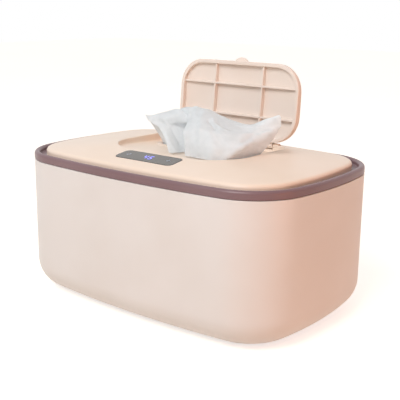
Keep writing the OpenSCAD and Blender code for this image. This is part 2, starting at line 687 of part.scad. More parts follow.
// Outside of the cover: side wall, rounded edge and dome
module dome_solid(drop = 0, side = 0, low = 0) {
    cz = edge_z - edge_r * sin(edge_turn);
    skin(concat(
        [ring_at(cover_in + side, ring_floor - low)],
        [for (a = [0:edge_turn / 4:edge_turn]) ring_at(cover_in + side + edge_r * (1 - cos(a)),
            cz - drop + edge_r * sin(a))],
        [for (k = [1:dome_steps - 1]) let (s = 1 - k / dome_steps)
            scaled_ring(dome_in + side, s, edge_z - drop + dome_rise * (1 - s * s))]));
}
module slot_cut(grow, z0, z1) {
    translate([0, slot_y, z0]) plate(slot_l + 2 * grow, slot_w + 2 * grow, slot_w / 2 + grow - 0.3, z1 - z0);
}
module top_cover() {
    block_y = [axis_y - 6, axis_y + 6];
    block_z = [axis_z - trough_r - 2, dome_z(block_y[1]) - 1];
    color([0.95, 0.89, 0.83]) difference() {
        union() {
            difference() {
                dome_solid();
                dome_solid(skin_drop, cover_wall, 1);
            }
            intersection() {
                dome_solid();
                dish_frame() translate([0, 0, -dish_floor_t])
                    plate(dish_l + 2 * dish_floor_t, dish_w + 2 * dish_floor_t, dish_r + dish_floor_t, 20);
            }
            block(-ear_x - ear_w - 1, ear_x + ear_w + 1, block_y[0], block_y[1], block_z[0], block_z[1]);
            for (s = [-1, 1]) translate([0, axis_y, axis_z])
                x_rod(ear_r, s > 0 ? ear_x : -ear_x - ear_w, s > 0 ? ear_x + ear_w : -ear_x);
            for (p = lid_spots) translate([p[0], p[1], ring_z])
                cylinder(r = lid_boss_r, h = lid_boss_top - ring_z);
            for (s = [-1, 1]) flip_stop(s);
        }
        ribbon_slot(half_w - cover_in - cover_wall - 3, half_w - cover_in + 1);
        dish_frame() plate(dish_l, dish_w, dish_r, 20);
        slot_cut(0, ring_z, edge_z + dome_rise + 5);
        translate([0, axis_y, axis_z]) x_rod(trough_r, -ear_x, ear_x);
        block(-ear_x, ear_x, dish_rear - 2, axis_y, axis_z - trough_r, axis_z + 10);
        translate([0, axis_y, axis_z]) x_rod(flip_bore_r, -ear_x - ear_w - 1, ear_x + ear_w + 1);
        for (p = lid_spots) translate([p[0], p[1], ring_z - 1]) cylinder(r = 1, h = 6);
        panel_frame() translate([0, 0, -window_t])
            plate(panel_l + 2 * panel_gap, panel_w + 2 * panel_gap, panel_r + panel_gap, window_t + 4);
        panel_frame() translate([0, 0, -8]) plate(panel_l - 6, panel_w - 5, 2, 12);
    }
}
// Stop behind the flip lid, drawn in the frame of the opened flip lid
module flip_stop(s) {
    rest = dome_z(flip_rear - 4) - axis_z + 0.45;
    opened() translate([s * 19 - 3, axis_y, axis_z]) rotate([90, 0, 90]) linear_extrude(6)
        polygon([[-6, rest], [-6, rest + 2.5], [2.6, rest + 2.5],
            [2.6, trough_r], [-2, trough_r], [-3, rest]]);
}
module flip_lid() {
    inner = [flip_l - 2 * flip_rim, flip_w - 2 * flip_rim, flip_r - flip_rim];
    tab_r = (tab_w * tab_w / 4 + tab_out * tab_out) / (2 * tab_out);
    tab_t = 1.8;
    tab_z = 3;
    color([0.95, 0.89, 0.83]) opened() difference() {
        union() {
            difference() {
                intersection() {
                    dome_solid();
                    flip_frame() plate(flip_l, flip_w, flip_r, 14);
                }
                intersection() {
                    dome_solid(flip_skin, 0, 1);
                    flip_frame() translate([0, 0, -1]) plate(inner[0], inner[1], inner[2], 15);
                }
            }
            intersection() {
                dome_solid(flip_skin / 2, 0, 1);
                flip_frame() translate([0, 0, rib_lift]) {
                    for (s = [-1, 1]) {
                        translate([s * rib_x, 0, 0])
                            block(-rib_t / 2, rib_t / 2, -flip_w / 2 + 1, flip_w / 2 - 1, 0, 12);
                        translate([0, s * rib_pitch / 2, 0])
                            block(-flip_l / 2 + 1, flip_l / 2 - 1, -rib_t / 2, rib_t / 2, 0, 12);
                    }
                }
            }
            flip_frame() difference() {
                translate([0, -flip_w / 2 + tab_r - tab_out, tab_z]) cylinder(r = tab_r, h = tab_t);
                plate(inner[0], inner[1], inner[2], 15);
            }
            translate([0, axis_y, axis_z]) x_rod(barrel_r, -barrel_half, barrel_half);
            block(-barrel_half, barrel_half, flip_rear - 2.5, axis_y, axis_z - 1.8, axis_z + 0.9);
        }
        translate([0, axis_y, axis_z]) x_rod(flip_bore_r, -barrel_half - 1, barrel_half + 1);
    }
}
module flip_pin() {
    color([0.75, 0.75, 0.77]) translate([0, axis_y, axis_z])
        x_rod(flip_pin_r, -ear_x - ear_w + 0.3, ear_x + ear_w - 0.3);
}
throat_wall = 1.6;
throat_top = floor_at(slot_y + slot_w / 2 + throat_wall) - dish_floor_t - 0.5;
module lid_liner() {
    color([0.93, 0.91, 0.89]) difference() {
        union() {
            slab(liner_in, liner_z, ring_z);
            slot_cut(throat_wall + 0.3, liner_z, throat_top);
            for (sx = [-1, 1], sy = [-1, 1])
                translate([sx * (board_l / 2 - 3), panel_y + sy * (board_w / 2 - 3), liner_z])
                    cylinder(r = 2, h = board_z - liner_z);
        }
        slot_cut(0.3, liner_z - 1, throat_top + 1);
        for (p = lid_spots) translate([p[0], p[1], liner_z - 1]) {
            cylinder(r = 1.5, h = liner_t + 2);
            cylinder(r = screw_head_r + 0.2, h = 1.9);
        }
    }
}
module lid_screws() {
    color([0.7, 0.7, 0.72]) for (p = lid_spots) translate([p[0], p[1], liner_z]) difference() {
        union() {
            translate([0, 0, 0.1]) cylinder(r = screw_head_r, h = 0.8);
            translate([0, 0, 0.5]) cylinder(r = 1, h = liner_t + 3.5);
        }
        cross_slot(0, 0.5);
    }
}
module lid_seal() {
    color([0.85, 0.85, 0.86]) band([[seal_in[0], ring_z - part_gap / 2], [seal_in[0], ring_z + seal_groove],
        [seal_in[1], ring_z + seal_groove], [seal_in[1], ring_z - part_gap / 2]]);
}
module slot_collar() {
    lip = 2.6;
    color([0.78, 0.76, 0.77]) difference() {
        union() {
            translate([0, slot_y, floor_at(slot_y)]) rotate([-dish_tilt, 0, 0])
                plate(slot_l + 2 * lip, slot_w + 2 * lip, slot_w / 2 + lip - 0.3, lip_h);
            slot_cut(-0.1, throat_top - 2, floor_at(slot_y) + 0.3);
        }
        slot_cut(-collar_t, throat_top - 3, floor_at(slot_y) + 5);
    }
}
module panel_window() {
    color([0.3, 0.31, 0.33]) panel_frame() translate([0, 0, -window_t])
        plate(panel_l, panel_w, panel_r, window_t);
}
// Bars of one digit: a figure's lit bars by number, 0 top, then clockwise, 6 in the middle
mark_t = 0.15;
module digit(lit) {
    w = digit_h * 0.5;
    t = digit_h * 0.13;
    half = digit_h / 2;
    for (k = lit) {
        if (k == 0) block(-w / 2 + t, w / 2 - t, half - t, half, 0, mark_t);
        if (k == 1) block(w / 2 - t, w / 2, t * 0.6, half - t * 0.6, 0, mark_t);
        if (k == 2) block(w / 2 - t, w / 2, -half + t * 0.6, -t * 0.6, 0, mark_t);
        if (k == 3) block(-w / 2 + t, w / 2 - t, -half, -half + t, 0, mark_t);
        if (k == 4) block(-w / 2, -w / 2 + t, -half + t * 0.6, -t * 0.6, 0, mark_t);
        if (k == 5) block(-w / 2, -w / 2 + t, t * 0.6, half - t * 0.6, 0, mark_t);
        if (k == 6) block(-w / 2 + t, w / 2 - t, -t / 2, t / 2, 0, mark_t);
    }
}
module display_digits() {
    pitch = digit_h * 0.75;
    color([0.6, 0.6, 1]) panel_frame() {
        translate([-pitch / 2, 0, 0]) digit([5, 6, 1, 2]);
        translate([pitch / 2, 0, 0]) digit([0, 5, 6, 2, 3]);
    }
}
mark_x = panel_l / 2 - 8;
mark_r = 1.7;
mark_line = 0.5;
module touch_marks() {
    half = mark_line / 2;
    color([0.85, 0.87, 0.9]) panel_frame() {
        translate([-mark_x, 0, 0]) difference() {
            cylinder(r = mark_r, h = mark_t);
            translate([0, 0, -1]) cylinder(r = mark_r - mark_line, h = 2);
        }
        translate([mark_x, 0, 0]) {
            block(-mark_r, mark_r, -half, half, 0, mark_t);
            block(-half, half, half, mark_r, 0, mark_t);
            block(-half, half, -mark_r, -half, 0, mark_t);
        }
    }
}
module display_board() {
    color([0.1, 0.4, 0.25]) translate([0, panel_y, board_z]) plate(board_l, board_w, 2, board_t);
}
part_top = panel_z - window_t - 1.6;
module digit_module() {
    color([0.2, 0.2, 0.22]) translate([0, panel_y, 0])
        block(-digit_h * 1.8, digit_h * 1.8, -digit_h * 0.7, digit_h * 0.7, board_z + board_t, part_top);
}
spring_r = 2.2;
spring_wall = 0.7;
module touch_springs() {
    spring_h = part_top - board_z - board_t + 0.9;
    color([0.8, 0.75, 0.6]) for (s = [-1, 1])
        translate([s * mark_x, panel_y, board_z + board_t]) difference() {
            cylinder(r = spring_r, h = spring_h);
            translate([0, 0, -1]) cylinder(r = spring_r - spring_wall, h = spring_h + 2);
        }
}
// Wires of the cover: round the dish to the ribbon cable at the rear
module lid_wires() {
    r = 1;
    z = ring_z + r + 0.3;
    x = dish_l / 2 + 15;
    color([0.2, 0.2, 0.22])
        tube([[board_l / 2 + 0.3, panel_y, board_z], [board_l / 2 + 4, panel_y, z],
              [x - 6, dish_front - 2, z], [x, 0, z], [x - 6, dish_rear - 10, z],
              [x - 28, ribbon_front - 8, z],
              [ribbon_x + 4, ribbon_front - 5, z + 0.4], [ribbon_x, ribbon_front - 2, ribbon_high + 0.2],
              [ribbon_x, ribbon_front - 0.05, ribbon_high + 0.2]], r, 6);
}
module lid_magnets() {
    color([0.6, 0.6, 0.62]) at_magnets(ring_z + 0.1) cylinder(r = magnet_r, h = magnet_t);
}

// Pulled wipe: rows of points from its foot in the dish up to its crest, then down the slot.
// X in hundredths of half the dish, Y in hundredths of the way from the slot to the dish's front,
// Z in hundredths of the wipe's height above the dish's floor. The lower rows double back at the
// fourth point, which makes the front fold.
wipe_rows = [
    [[0, 80, 0], [5, 75, 0], [15, 60, 0], [22, 60, 0], [25, 70, 0], [50, 75, 0], [80, 75, 0], [90, 40, 0],
     [90, 5, 0]],
    [[-20, 65, 25], [-5, 65, 25], [5, 50, 25], [15, 50, 30], [25, 70, 25], [55, 80, 30], [85, 75, 25],
     [95, 40, 30], [105, 10, 35]],
    [[-45, 45, 45], [-25, 45, 50], [-5, 40, 55], [5, 50, 55], [20, 65, 50], [50, 70, 60], [80, 65, 55],
     [95, 30, 55], [115, 10, 65]],
    [[-75, 30, 55], [-50, 30, 70], [-20, 30, 80], [-5, 35, 85], [10, 40, 80], [40, 40, 80], [65, 35, 70],
     [90, 20, 70], [118, 10, 90]],
    [[-85, 20, 65], [-70, 15, 75], [-40, 10, 85], [-25, 10, 92], [-10, 5, 97], [20, 5, 90], [55, 10, 75],
     [90, 10, 75], [118, 10, 102]]];
wipe_nu = 32;
wipe_nv = 12;
wipe_y = slot_y - slot_w / 2 + collar_t + 1.6;
wipe_end_half = slot_l * 0.39;
wipe_lift = 0.6 + wipe_t;
wipe_end_z = liner_z - 2;
function wipe_point(p) = let (y = wipe_y + (dish_front - wipe_y) * p[1] / 100)
    [dish_l / 2 * p[0] / 100, y, floor_at(y) + wipe_lift + wipe_h * p[2] / 100];
// Row across the slot at height z
function slot_row(z) = let (n = len(wipe_rows[0]) - 1)
    [for (i = [0:n]) [wipe_end_half * (2 * i / n - 1), wipe_y, z]];
// Smooth curve through the points p, t from 0 to 1
function spline(p, t) =
    let (n = len(p) - 1, i = min(floor(t * n), n - 1), f = t * n - i,
         a = p[max(i - 1, 0)], b = p[i], c = p[i + 1], d = p[min(i + 2, n)])
    (2 * b + (c - a) * f + (2 * a - 5 * b + 4 * c - d) * f * f + (3 * b - a - 3 * c + d) * f * f * f) / 2;
module pulled_wipe() {
    front_rows = [for (row = wipe_rows) [for (p = row) wipe_point(p)]];
    top_row = front_rows[len(front_rows) - 1];
    mouth_row = slot_row(floor_at(wipe_y) + 1);
    rear_row = [for (i = [0:len(top_row) - 1]) (top_row[i] + mouth_row[i]) / 2 + [0, 1, 0]];
    rows = concat(front_rows, [rear_row, mouth_row, slot_row(wipe_end_z)]);
    columns = [for (i = [0:wipe_nu]) [for (row = rows) spline(row, i / wipe_nu)]];
    crest_v = (len(wipe_rows) - 1) / (len(rows) - 1);
    vs = concat([for (k = [0:wipe_nv]) crest_v * k / wipe_nv],
        [for (k = [1:4]) crest_v + (1 - crest_v) * k / 4]);
    grid = [for (v = vs) [for (column = columns) spline(column, v)]];
    n = wipe_nu + 1;
    m = len(vs);
    function normal(k, i) =
        let (w = cross(grid[k][min(i + 1, n - 1)] - grid[k][max(i - 1, 0)],
                       grid[min(k + 1, m - 1)][i] - grid[max(k - 1, 0)][i])) w / norm(w);
    function id(i, k, s) = s * n * m + k * n + i;
    color([0.97, 0.97, 0.97]) polyhedron(
        points = [for (s = [1, -1], k = [0:m - 1], i = [0:n - 1]) grid[k][i] + s * wipe_t / 2 * normal(k, i)],
        faces = concat(
            [for (k = [0:m - 2], i = [0:n - 2]) each [
                [id(i, k, 0), id(i, k + 1, 0), id(i + 1, k, 0)],
                [id(i + 1, k, 0), id(i, k + 1, 0), id(i + 1, k + 1, 0)],
                [id(i, k, 1), id(i + 1, k, 1), id(i, k + 1, 1)],
                [id(i + 1, k, 1), id(i + 1, k + 1, 1), id(i, k + 1, 1)]]],
            [for (k = [0:m - 2]) each [
                [id(0, k, 0), id(0, k, 1), id(0, k + 1, 0)],
                [id(0, k + 1, 0), id(0, k, 1), id(0, k + 1, 1)],
                [id(n - 1, k, 0), id(n - 1, k + 1, 0), id(n - 1, k, 1)],
                [id(n - 1, k + 1, 0), id(n - 1, k + 1, 1), id(n - 1, k, 1)]]],
            [for (i = [0:n - 2]) each [
                [id(i, 0, 0), id(i + 1, 0, 0), id(i, 0, 1)],
                [id(i + 1, 0, 0), id(i + 1, 0, 1), id(i, 0, 1)],
                [id(i, m - 1, 0), id(i, m - 1, 1), id(i + 1, m - 1, 0)],
                [id(i + 1, m - 1, 0), id(i, m - 1, 1), id(i + 1, m - 1, 1)]]]),
        convexity = 10);
}

outer_shell();
base_plate();
base_screws();
rubber_feet();
inner_tank();
heat_plate();
heating_film();
insulation_pad();
temperature_sensor();
thermal_fuse();
board_posts();
power_board();
power_parts();
dc_jack();
base_wires();
wipe_stack();
base_magnets();
hinge_pin();
hinge_ribbon();
trim_ring();
top_cover();
flip_lid();
flip_pin();
lid_liner();
lid_screws();
lid_seal();
slot_collar();
panel_window();
display_digits();
touch_marks();
display_board();
digit_module();
touch_springs();
lid_wires();
lid_magnets();
pulled_wipe();
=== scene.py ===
# %% [markdown]
# # A baby wipe warmer, dressed for its portrait
#
# The engineering model is already packed: every part sits where it belongs, in metres. This
# lesson loads it, keeps the parts whose shape is right, and makes the ones that the eye rests
# on again as smooth surfaces worked out with numpy. Each cell makes one thing and prints it.

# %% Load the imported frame
import json
import math

import bmesh
import bpy
import numpy as np
from mathutils import Matrix, Vector


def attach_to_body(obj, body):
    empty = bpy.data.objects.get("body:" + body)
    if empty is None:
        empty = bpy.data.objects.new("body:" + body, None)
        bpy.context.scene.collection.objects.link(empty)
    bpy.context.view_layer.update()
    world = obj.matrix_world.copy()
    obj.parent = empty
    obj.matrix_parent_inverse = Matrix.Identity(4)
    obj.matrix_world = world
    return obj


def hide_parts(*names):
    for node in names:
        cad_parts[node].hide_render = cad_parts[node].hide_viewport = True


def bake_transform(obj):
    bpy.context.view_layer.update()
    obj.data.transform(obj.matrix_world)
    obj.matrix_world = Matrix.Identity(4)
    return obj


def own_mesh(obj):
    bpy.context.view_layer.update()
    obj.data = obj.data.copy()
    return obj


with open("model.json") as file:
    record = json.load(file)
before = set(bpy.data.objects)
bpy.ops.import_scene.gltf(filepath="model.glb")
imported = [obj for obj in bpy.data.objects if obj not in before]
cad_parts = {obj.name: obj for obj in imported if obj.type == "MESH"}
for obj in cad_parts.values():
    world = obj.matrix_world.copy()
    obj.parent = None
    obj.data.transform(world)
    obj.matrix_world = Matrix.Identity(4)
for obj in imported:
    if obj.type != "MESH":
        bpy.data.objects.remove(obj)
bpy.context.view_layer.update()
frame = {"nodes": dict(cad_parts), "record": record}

nodes = frame["nodes"]

# %% [markdown]
# ## Driving dimensions
#
# These few lengths, in millimetres, are the ones the engineering model is drawn from. The
# surfaces below repeat them, so that a smooth piece lands exactly on the part it replaces.

# %% Driving dimensions
MM = 0.001
HALF_L, HALF_W = 120.0, 80.0
FRONT_BOW_R, SIDE_BOW_R, CORNER_R = 750.0, 265.0, 42.4
BODY_H, GAP = 102.3, 0.3
RING_Z = BODY_H + GAP
FOOT_Z, BASE_ROUND, SHELL_WALL, PLATE_T = 1.5, 22.0, 2.4, 2.4
RING_WALL, RING_H, RING_FLOOR_T, RING_IN = 4.4, 5.8, 2.0, 17.0
RING_FLOOR = RING_Z + RING_FLOOR_T
COVER_IN, EDGE_R, EDGE_TURN = 9.0, 3.0, math.radians(78)
DOME_IN = COVER_IN + EDGE_R * (1 - math.cos(EDGE_TURN))
EDGE_Z, DOME_RISE, COVER_WALL, SKIN_DROP = RING_Z + 7.85, 7.17, 2.2, 2.4
TILT = math.radians(3.4)
print("dome edge inset", round(DOME_IN, 3), "at height", EDGE_Z)


# %% [markdown]
# ## The outline of the body
#
# Seen from above the box is bowed on all four sides. One quarter of its outline is three arcs
# that touch: a side arc, a corner arc and a long arc. Moving the outline inwards by d only
# changes the three radii, so every wall, groove and rim can use this one function. A rounded
# rectangle with the same number of points on each stretch lets a bowed ring flow into it.

# %% Outline functions
def circles_meet(p, m, q, n):
    """Corner centre: the point at distance m from p and n from q, in the positive quarter."""
    d = np.linalg.norm(q - p)
    e = (q - p) / d
    t = (m * m - n * n + d * d) / (2 * d)
    h = math.sqrt(m * m - t * t)
    across = h * np.array([-e[1], e[0]])
    return max([p + t * e + across, p + t * e - across], key=lambda v: v.sum())


FRONT_C = np.array([0.0, HALF_W - FRONT_BOW_R])
SIDE_C = np.array([HALF_L - SIDE_BOW_R, 0.0])
CORNER = circles_meet(FRONT_C, FRONT_BOW_R - CORNER_R, SIDE_C, SIDE_BOW_R - CORNER_R)
SIDE_TURN = math.atan2(*(CORNER - SIDE_C)[::-1])
CORNER_TURN = math.atan2(*(CORNER - FRONT_C)[::-1])
SIDE_N, CORNER_N, FRONT_N = 10, 18, 16


def mirror_quarter(q):
    """Closed ring from its first quarter: the quarter, then its mirror images, without doubles."""
    return np.concatenate([q, q[-2::-1] * [-1, 1], q[1:] * [-1, -1], q[-2:0:-1] * [1, -1]])


def outline(d, fine=1):
    """Closed outline inset by d: centre plus radius times (cos, sin), arc by arc, mirrored twice."""
    def arc(c, r, a0, a1, n):
        a = np.linspace(a0, a1, n * fine + 1)
        return c + (r - d) * np.stack([np.cos(a), np.sin(a)], 1)
    return mirror_quarter(np.concatenate([
        arc(SIDE_C, SIDE_BOW_R, 0, SIDE_TURN, SIDE_N),
        arc(CORNER, CORNER_R, SIDE_TURN, CORNER_TURN, CORNER_N)[1:],
        arc(FRONT_C, FRONT_BOW_R, CORNER_TURN, math.pi / 2, FRONT_N)[1:]]))


def rounded(l, w, r):
    """Rounded rectangle l by w with corner radius r, point for point beside the outline's points."""
    rise = np.linspace(0, w / 2 - r, SIDE_N + 1)
    side = np.stack([np.full_like(rise, l / 2), rise], 1)
    a = np.linspace(0, math.pi / 2, CORNER_N + 1)[1:]
    bend = np.array([l / 2 - r, w / 2 - r]) + r * np.stack([np.cos(a), np.sin(a)], 1)
    run = np.linspace(l / 2 - r, 0, FRONT_N + 1)[1:]
    front = np.stack([run, np.full_like(run, w / 2)], 1)
    return mirror_quarter(np.concatenate([side, bend, front]))


RIM_N = len(outline(0))
print("a ring has", RIM_N, "points; corner centre", CORNER.round(3))


# %% [markdown]
# ## From rings to solids
#
# Nearly every piece here is a stack of rings: each ring is a closed curve, and neighbouring
# rings are joined by quads. Closing the stack on itself gives a tube-like body such as a wall,
# and capping its ends gives a body such as a rod. The sign of the volume tells whether the
# faces look outwards, and turns them round if they don't.

# %% Rings to solids
def solid(rings, loop=False):
    """Points and faces of a ring stack: quad (i, j) joins ring i to ring i + 1 at places j, j + 1."""
    rings = np.asarray(rings, float)
    m, n, _ = rings.shape
    i = np.arange(m if loop else m - 1)[:, None]
    j = np.arange(n)[None, :]
    below, next_j = (i + 1) % m, (j + 1) % n
    quads = np.stack([i * n + j, i * n + next_j, below * n + next_j, below * n + j], -1)
    faces = quads.reshape(-1, 4).tolist()
    if not loop:
        faces += [list(range(n))[::-1], list(range((m - 1) * n, m * n))]
    points = rings.reshape(-1, 3)
    q = quads.reshape(-1, 4)
    a, b, c, d = (points[q[:, k]] for k in range(4))
    volume = np.einsum("ij,ij->i", a, np.cross(b, c) + np.cross(c, d)).sum()
    if not loop:
        for cap in faces[-2:]:
            p = points[cap]
            volume += np.einsum("ij,ij->i", np.broadcast_to(p[0], p[1:-1].shape),
                                np.cross(p[1:-1], p[2:])).sum()
    if volume < 0:
        faces = [face[::-1] for face in faces]
    return points, faces


def together(solids):
    """One list of points and faces from several solids, each face shifted past the points before it."""
    points, faces, start = [], [], 0
    for p, f in solids:
        points.append(p)
        faces += [[k + start for k in face] for face in f]
        start += len(p)
    return np.concatenate(points), faces


def build(name, shape, crease=35):
    """Mesh object from points in mm and faces; edges turned more than crease degrees stay crisp."""
    points, faces = shape
    mesh = bpy.data.meshes.new(name)
    mesh.from_pydata((points * MM).tolist(), [], faces)
    mesh.update()
    obj = bpy.data.objects.new(name, mesh)
    bpy.context.scene.collection.objects.link(obj)
    soften(obj, crease)
    return obj


def soften(obj, crease=35):
    """Smooth shading, but with crisp edges where faces meet at more than crease degrees."""
    obj.data.shade_smooth()
    obj.data.set_sharp_from_angle(angle=math.radians(crease))


def carve(obj, shape, operation, crease=35):
    """Cut a solid out of obj, or weld it on: an exact Boolean, applied at once."""
    tool = build(obj.name + "_tool", shape)
    step = obj.modifiers.new("carve", "BOOLEAN")
    step.operation, step.object, step.solver, step.use_self = operation, tool, "EXACT", True
    bpy.context.view_layer.update()
    seen = obj.evaluated_get(bpy.context.evaluated_depsgraph_get())
    mesh = bpy.data.meshes.new_from_object(seen)
    old = obj.data
    obj.modifiers.clear()
    obj.data = mesh
    bpy.data.meshes.remove(old)
    bpy.data.objects.remove(tool)
    soften(obj, crease)
    return obj


# %% [markdown]
# ## Small solids
#
# Rods, sleeves and blocks turn up everywhere on a moulded case: pins, knuckles, screw bosses,
# ribs. Each one has a tiny chamfer or round on its edges, because no moulded edge is knife-sharp
# and the light catches that sliver.

# %% Small solids
def circle(r, n=40):
    """n points (r cos a, r sin a), a going once round."""
    a = np.linspace(0, 2 * math.pi, n, endpoint=False)
    return r * np.cos(a), r * np.sin(a)


def along(axis, u, v, t):
    """Points with u and v across the axis and t along it: axis 0 is X, 1 is Y, 2 is Z."""
    out = np.zeros((len(u), 3))
    out[:, (axis + 1) % 3], out[:, (axis + 2) % 3], out[:, axis] = u, v, t
    return out


def rod(axis, r, t0, t1, centre, edge=0.15, n=40):
    """Cylinder along an axis: rings of radius r, drawn in by edge at both ends."""
    steps = [(r - edge, t0), (r, t0 + edge), (r, t1 - edge), (r - edge, t1)]
    return solid([along(axis, *circle(q, n), t) + centre for q, t in steps])


def sleeve(axis, r_out, r_in, t0, t1, centre, n=40):
    """Hollow cylinder: the outer rings and the inner rings closed into one loop."""
    steps = [(r_out, t0), (r_out, t1), (r_in, t1), (r_in, t0)]
    return solid([along(axis, *circle(q, n), t) + centre for q, t in steps], loop=True)


def block(x0, x1, y0, y1, z0, z1, edge=0.2):
    """Box with softened edges: four rings of a rounded rectangle, drawn in at top and bottom."""
    l, w = x1 - x0, y1 - y0
    middle = np.array([(x0 + x1) / 2, (y0 + y1) / 2])
    a = np.radians(np.arange(4)[:, None] * 90 + np.linspace(0, 90, 4)).ravel()
    sx, sy = np.repeat([1, -1, -1, 1], 4), np.repeat([1, 1, -1, -1], 4)
    def ring(inset, z):
        flat = np.stack([sx * (l / 2 - edge) + (edge - inset) * np.cos(a),
                         sy * (w / 2 - edge) + (edge - inset) * np.sin(a)], 1) + middle
        return np.column_stack([flat, np.full(16, z)])
    return solid([ring(edge * 0.9, z0), ring(0, z0 + edge), ring(0, z1 - edge), ring(edge * 0.9, z1)])


def arc_steps(n, a0=0.0, a1=90.0):
    """n + 1 angles from a0 to a1 degrees, in radians."""
    return np.radians(np.linspace(a0, a1, n + 1))


def band(profile):
    """Wall round the body: every profile point (inset, height) becomes the outline at that inset."""
    return solid([np.column_stack([outline(d), np.full(RIM_N, z)]) for d, z in profile], loop=True)


def tipped(points, degrees, y0, z0):
    """Points turned about the X axis through (y0, z0)."""
    a = math.radians(degrees)
    y, z = points[:, 1] - y0, points[:, 2] - z0
    return np.column_stack([points[:, 0], y0 + y * math.cos(a) - z * math.sin(a),
                            z0 + y * math.sin(a) + z * math.cos(a)])


def moved(shape, change):
    """The solid with its points passed through change."""
    return change(shape[0]), shape[1]


print("helpers ready")

# %% [markdown]
# ## Materials
#
# Colours are written as sRGB hex, the way a colour picker shows them, and one function turns
# them linear for the shader. A second one adds a node with its values and links. Everything
# else about a finish is a few nodes: a broad drift of colour, a fine grain in the bump, and a
# little unevenness in the gloss, all in object coordinates, which are real metres here.

# %% Colour and node helpers
def linear(hex_colour, alpha=1.0):
    """sRGB hex to linear: c / 12.92 below 0.04045, else ((c + 0.055) / 1.055) to the 2.4."""
    c = np.array([int(hex_colour[i:i + 2], 16) / 255 for i in (1, 3, 5)])
    c = np.where(c <= 0.04045, c / 12.92, ((c + 0.055) / 1.055) ** 2.4)
    return (*c.tolist(), alpha)


def add(tree, kind, values=None, links=None, **settings):
    """One shader node with its settings, its socket values and its incoming links."""
    node = tree.nodes.new(kind)
    for key, value in settings.items():
        setattr(node, key, value)
    for key, value in (values or {}).items():
        node.inputs[key].default_value = value
    for key, source in (links or {}).items():
        tree.links.new(source, node.inputs[key])
    return node


def finish_of(name, colour, roughness, ior=1.5, metallic=0.0):
    """Material with a principled shader set to these values; gives material, tree and shader."""
    material = bpy.data.materials.new(name)
    material.use_nodes = True
    tree = material.node_tree
    shader = tree.nodes["Principled BSDF"]
    shader.inputs["Base Color"].default_value = linear(colour)
    shader.inputs["Roughness"].default_value = roughness
    shader.inputs["Metallic"].default_value = metallic
    if not metallic:
        shader.inputs["IOR"].default_value = ior
    return material, tree, shader


def place(tree, stretch=(1, 1, 1)):
    """Object coordinates, stretched if the pattern has a direction."""
    here = add(tree, "ShaderNodeTexCoord").outputs["Object"]
    return add(tree, "ShaderNodeMapping", {"Scale": stretch}, {"Vector": here}).outputs["Vector"]


def per_mm(size):
    """Noise scale, in object metres, for features of a size in millimetres."""
    return 1 / (size * MM)


def tint(tree, shader, where, light, dark, size):
    """Base colour drifting between two near tones over patches of a size in mm."""
    drift = add(tree, "ShaderNodeTexNoise", {"Scale": per_mm(size), "Detail": 2.0}, {"Vector": where})
    ramp = add(tree, "ShaderNodeValToRGB", links={"Fac": drift.outputs["Fac"]})
    ramp.color_ramp.elements[0].position, ramp.color_ramp.elements[1].position = 0.35, 0.65
    ramp.color_ramp.elements[0].color, ramp.color_ramp.elements[1].color = linear(dark), linear(light)
    tree.links.new(ramp.outputs["Color"], shader.inputs["Base Color"])
    return ramp


def uneven_gloss(tree, shader, where, low, high, size):
    """Roughness wandering between low and high over patches of a size in mm."""
    drift = add(tree, "ShaderNodeTexNoise", {"Scale": per_mm(size), "Detail": 3.0}, {"Vector": where})
    span = add(tree, "ShaderNodeMapRange", {"To Min": low, "To Max": high}, {"Value": drift.outputs["Fac"]})
    tree.links.new(span.outputs["Result"], shader.inputs["Roughness"])


def grain(tree, shader, where, size, strength, depth=0.05, detail=3.0):
    """Fine bump: noise with grains of a size in mm, depth in mm, at a share of its strength."""
    noise = add(tree, "ShaderNodeTexNoise", {"Scale": per_mm(size), "Detail": detail}, {"Vector": where})
    bump = add(tree, "ShaderNodeBump", {"Strength": strength, "Distance": depth * MM},
               {"Height": noise.outputs["Fac"]})
    tree.links.new(bump.outputs["Normal"], shader.inputs["Normal"])
    return bump


print("material helpers ready")

# %% [markdown]
# ## Moulded plastics
#
# The case is moulded ABS, a tough plastic with a satin skin that copies the spark-eroded steel
# of its mould. Real grain is about 0.2 mm and would vanish at this distance, so it is drawn
# near 1 mm and very shallow. The gloss of such a skin is soft: a roughness round 0.4.

# %% Moulded plastics
def moulded_plastic(name, light, dark, gloss=(0.36, 0.46), grain_mm=1.0):
    """ABS or PP from a textured mould: near-even colour, soft gloss and a whisper of grain."""
    material, tree, shader = finish_of(name, light, 0.4, ior=1.53)
    where = place(tree)
    tint(tree, shader, where, light, dark, 45)
    uneven_gloss(tree, shader, where, *gloss, 18)
    grain(tree, shader, where, grain_mm, 0.12)
    return material


body_abs = moulded_plastic("moulded_ABS_body", "#E1DCDA", "#DED8D5")
cover_abs = moulded_plastic("moulded_ABS_cover", "#F3E1D1", "#F0DDCB")
# The flip lid is the cover's plastic, made greyer and dimmer: painted shade for the soft shade inside the open lid.
flip_abs_painted_shade = moulded_plastic("moulded_ABS_flip_lid_painted_shade", "#ECE1D8", "#E9DCD2")
ring_abs = moulded_plastic("moulded_ABS_mauve", "#7D6267", "#775B60", gloss=(0.3, 0.4))
tank_pp = moulded_plastic("moulded_polypropylene", "#F2EFE9", "#EEEAE3", gloss=(0.3, 0.42), grain_mm=1.6)
dark_pbt = moulded_plastic("moulded_PBT_black", "#242427", "#1E1E20", gloss=(0.38, 0.5), grain_mm=0.8)
red_pvc = moulded_plastic("extruded_PVC_red", "#BE2A26", "#AE2320", gloss=(0.28, 0.36), grain_mm=1.5)
flex_pet = moulded_plastic("laminated_PET_flex", "#E4E2DC", "#D8D6D0", gloss=(0.2, 0.3), grain_mm=2.0)
print("plastics:", body_abs.name, cover_abs.name, ring_abs.name, tank_pp.name)

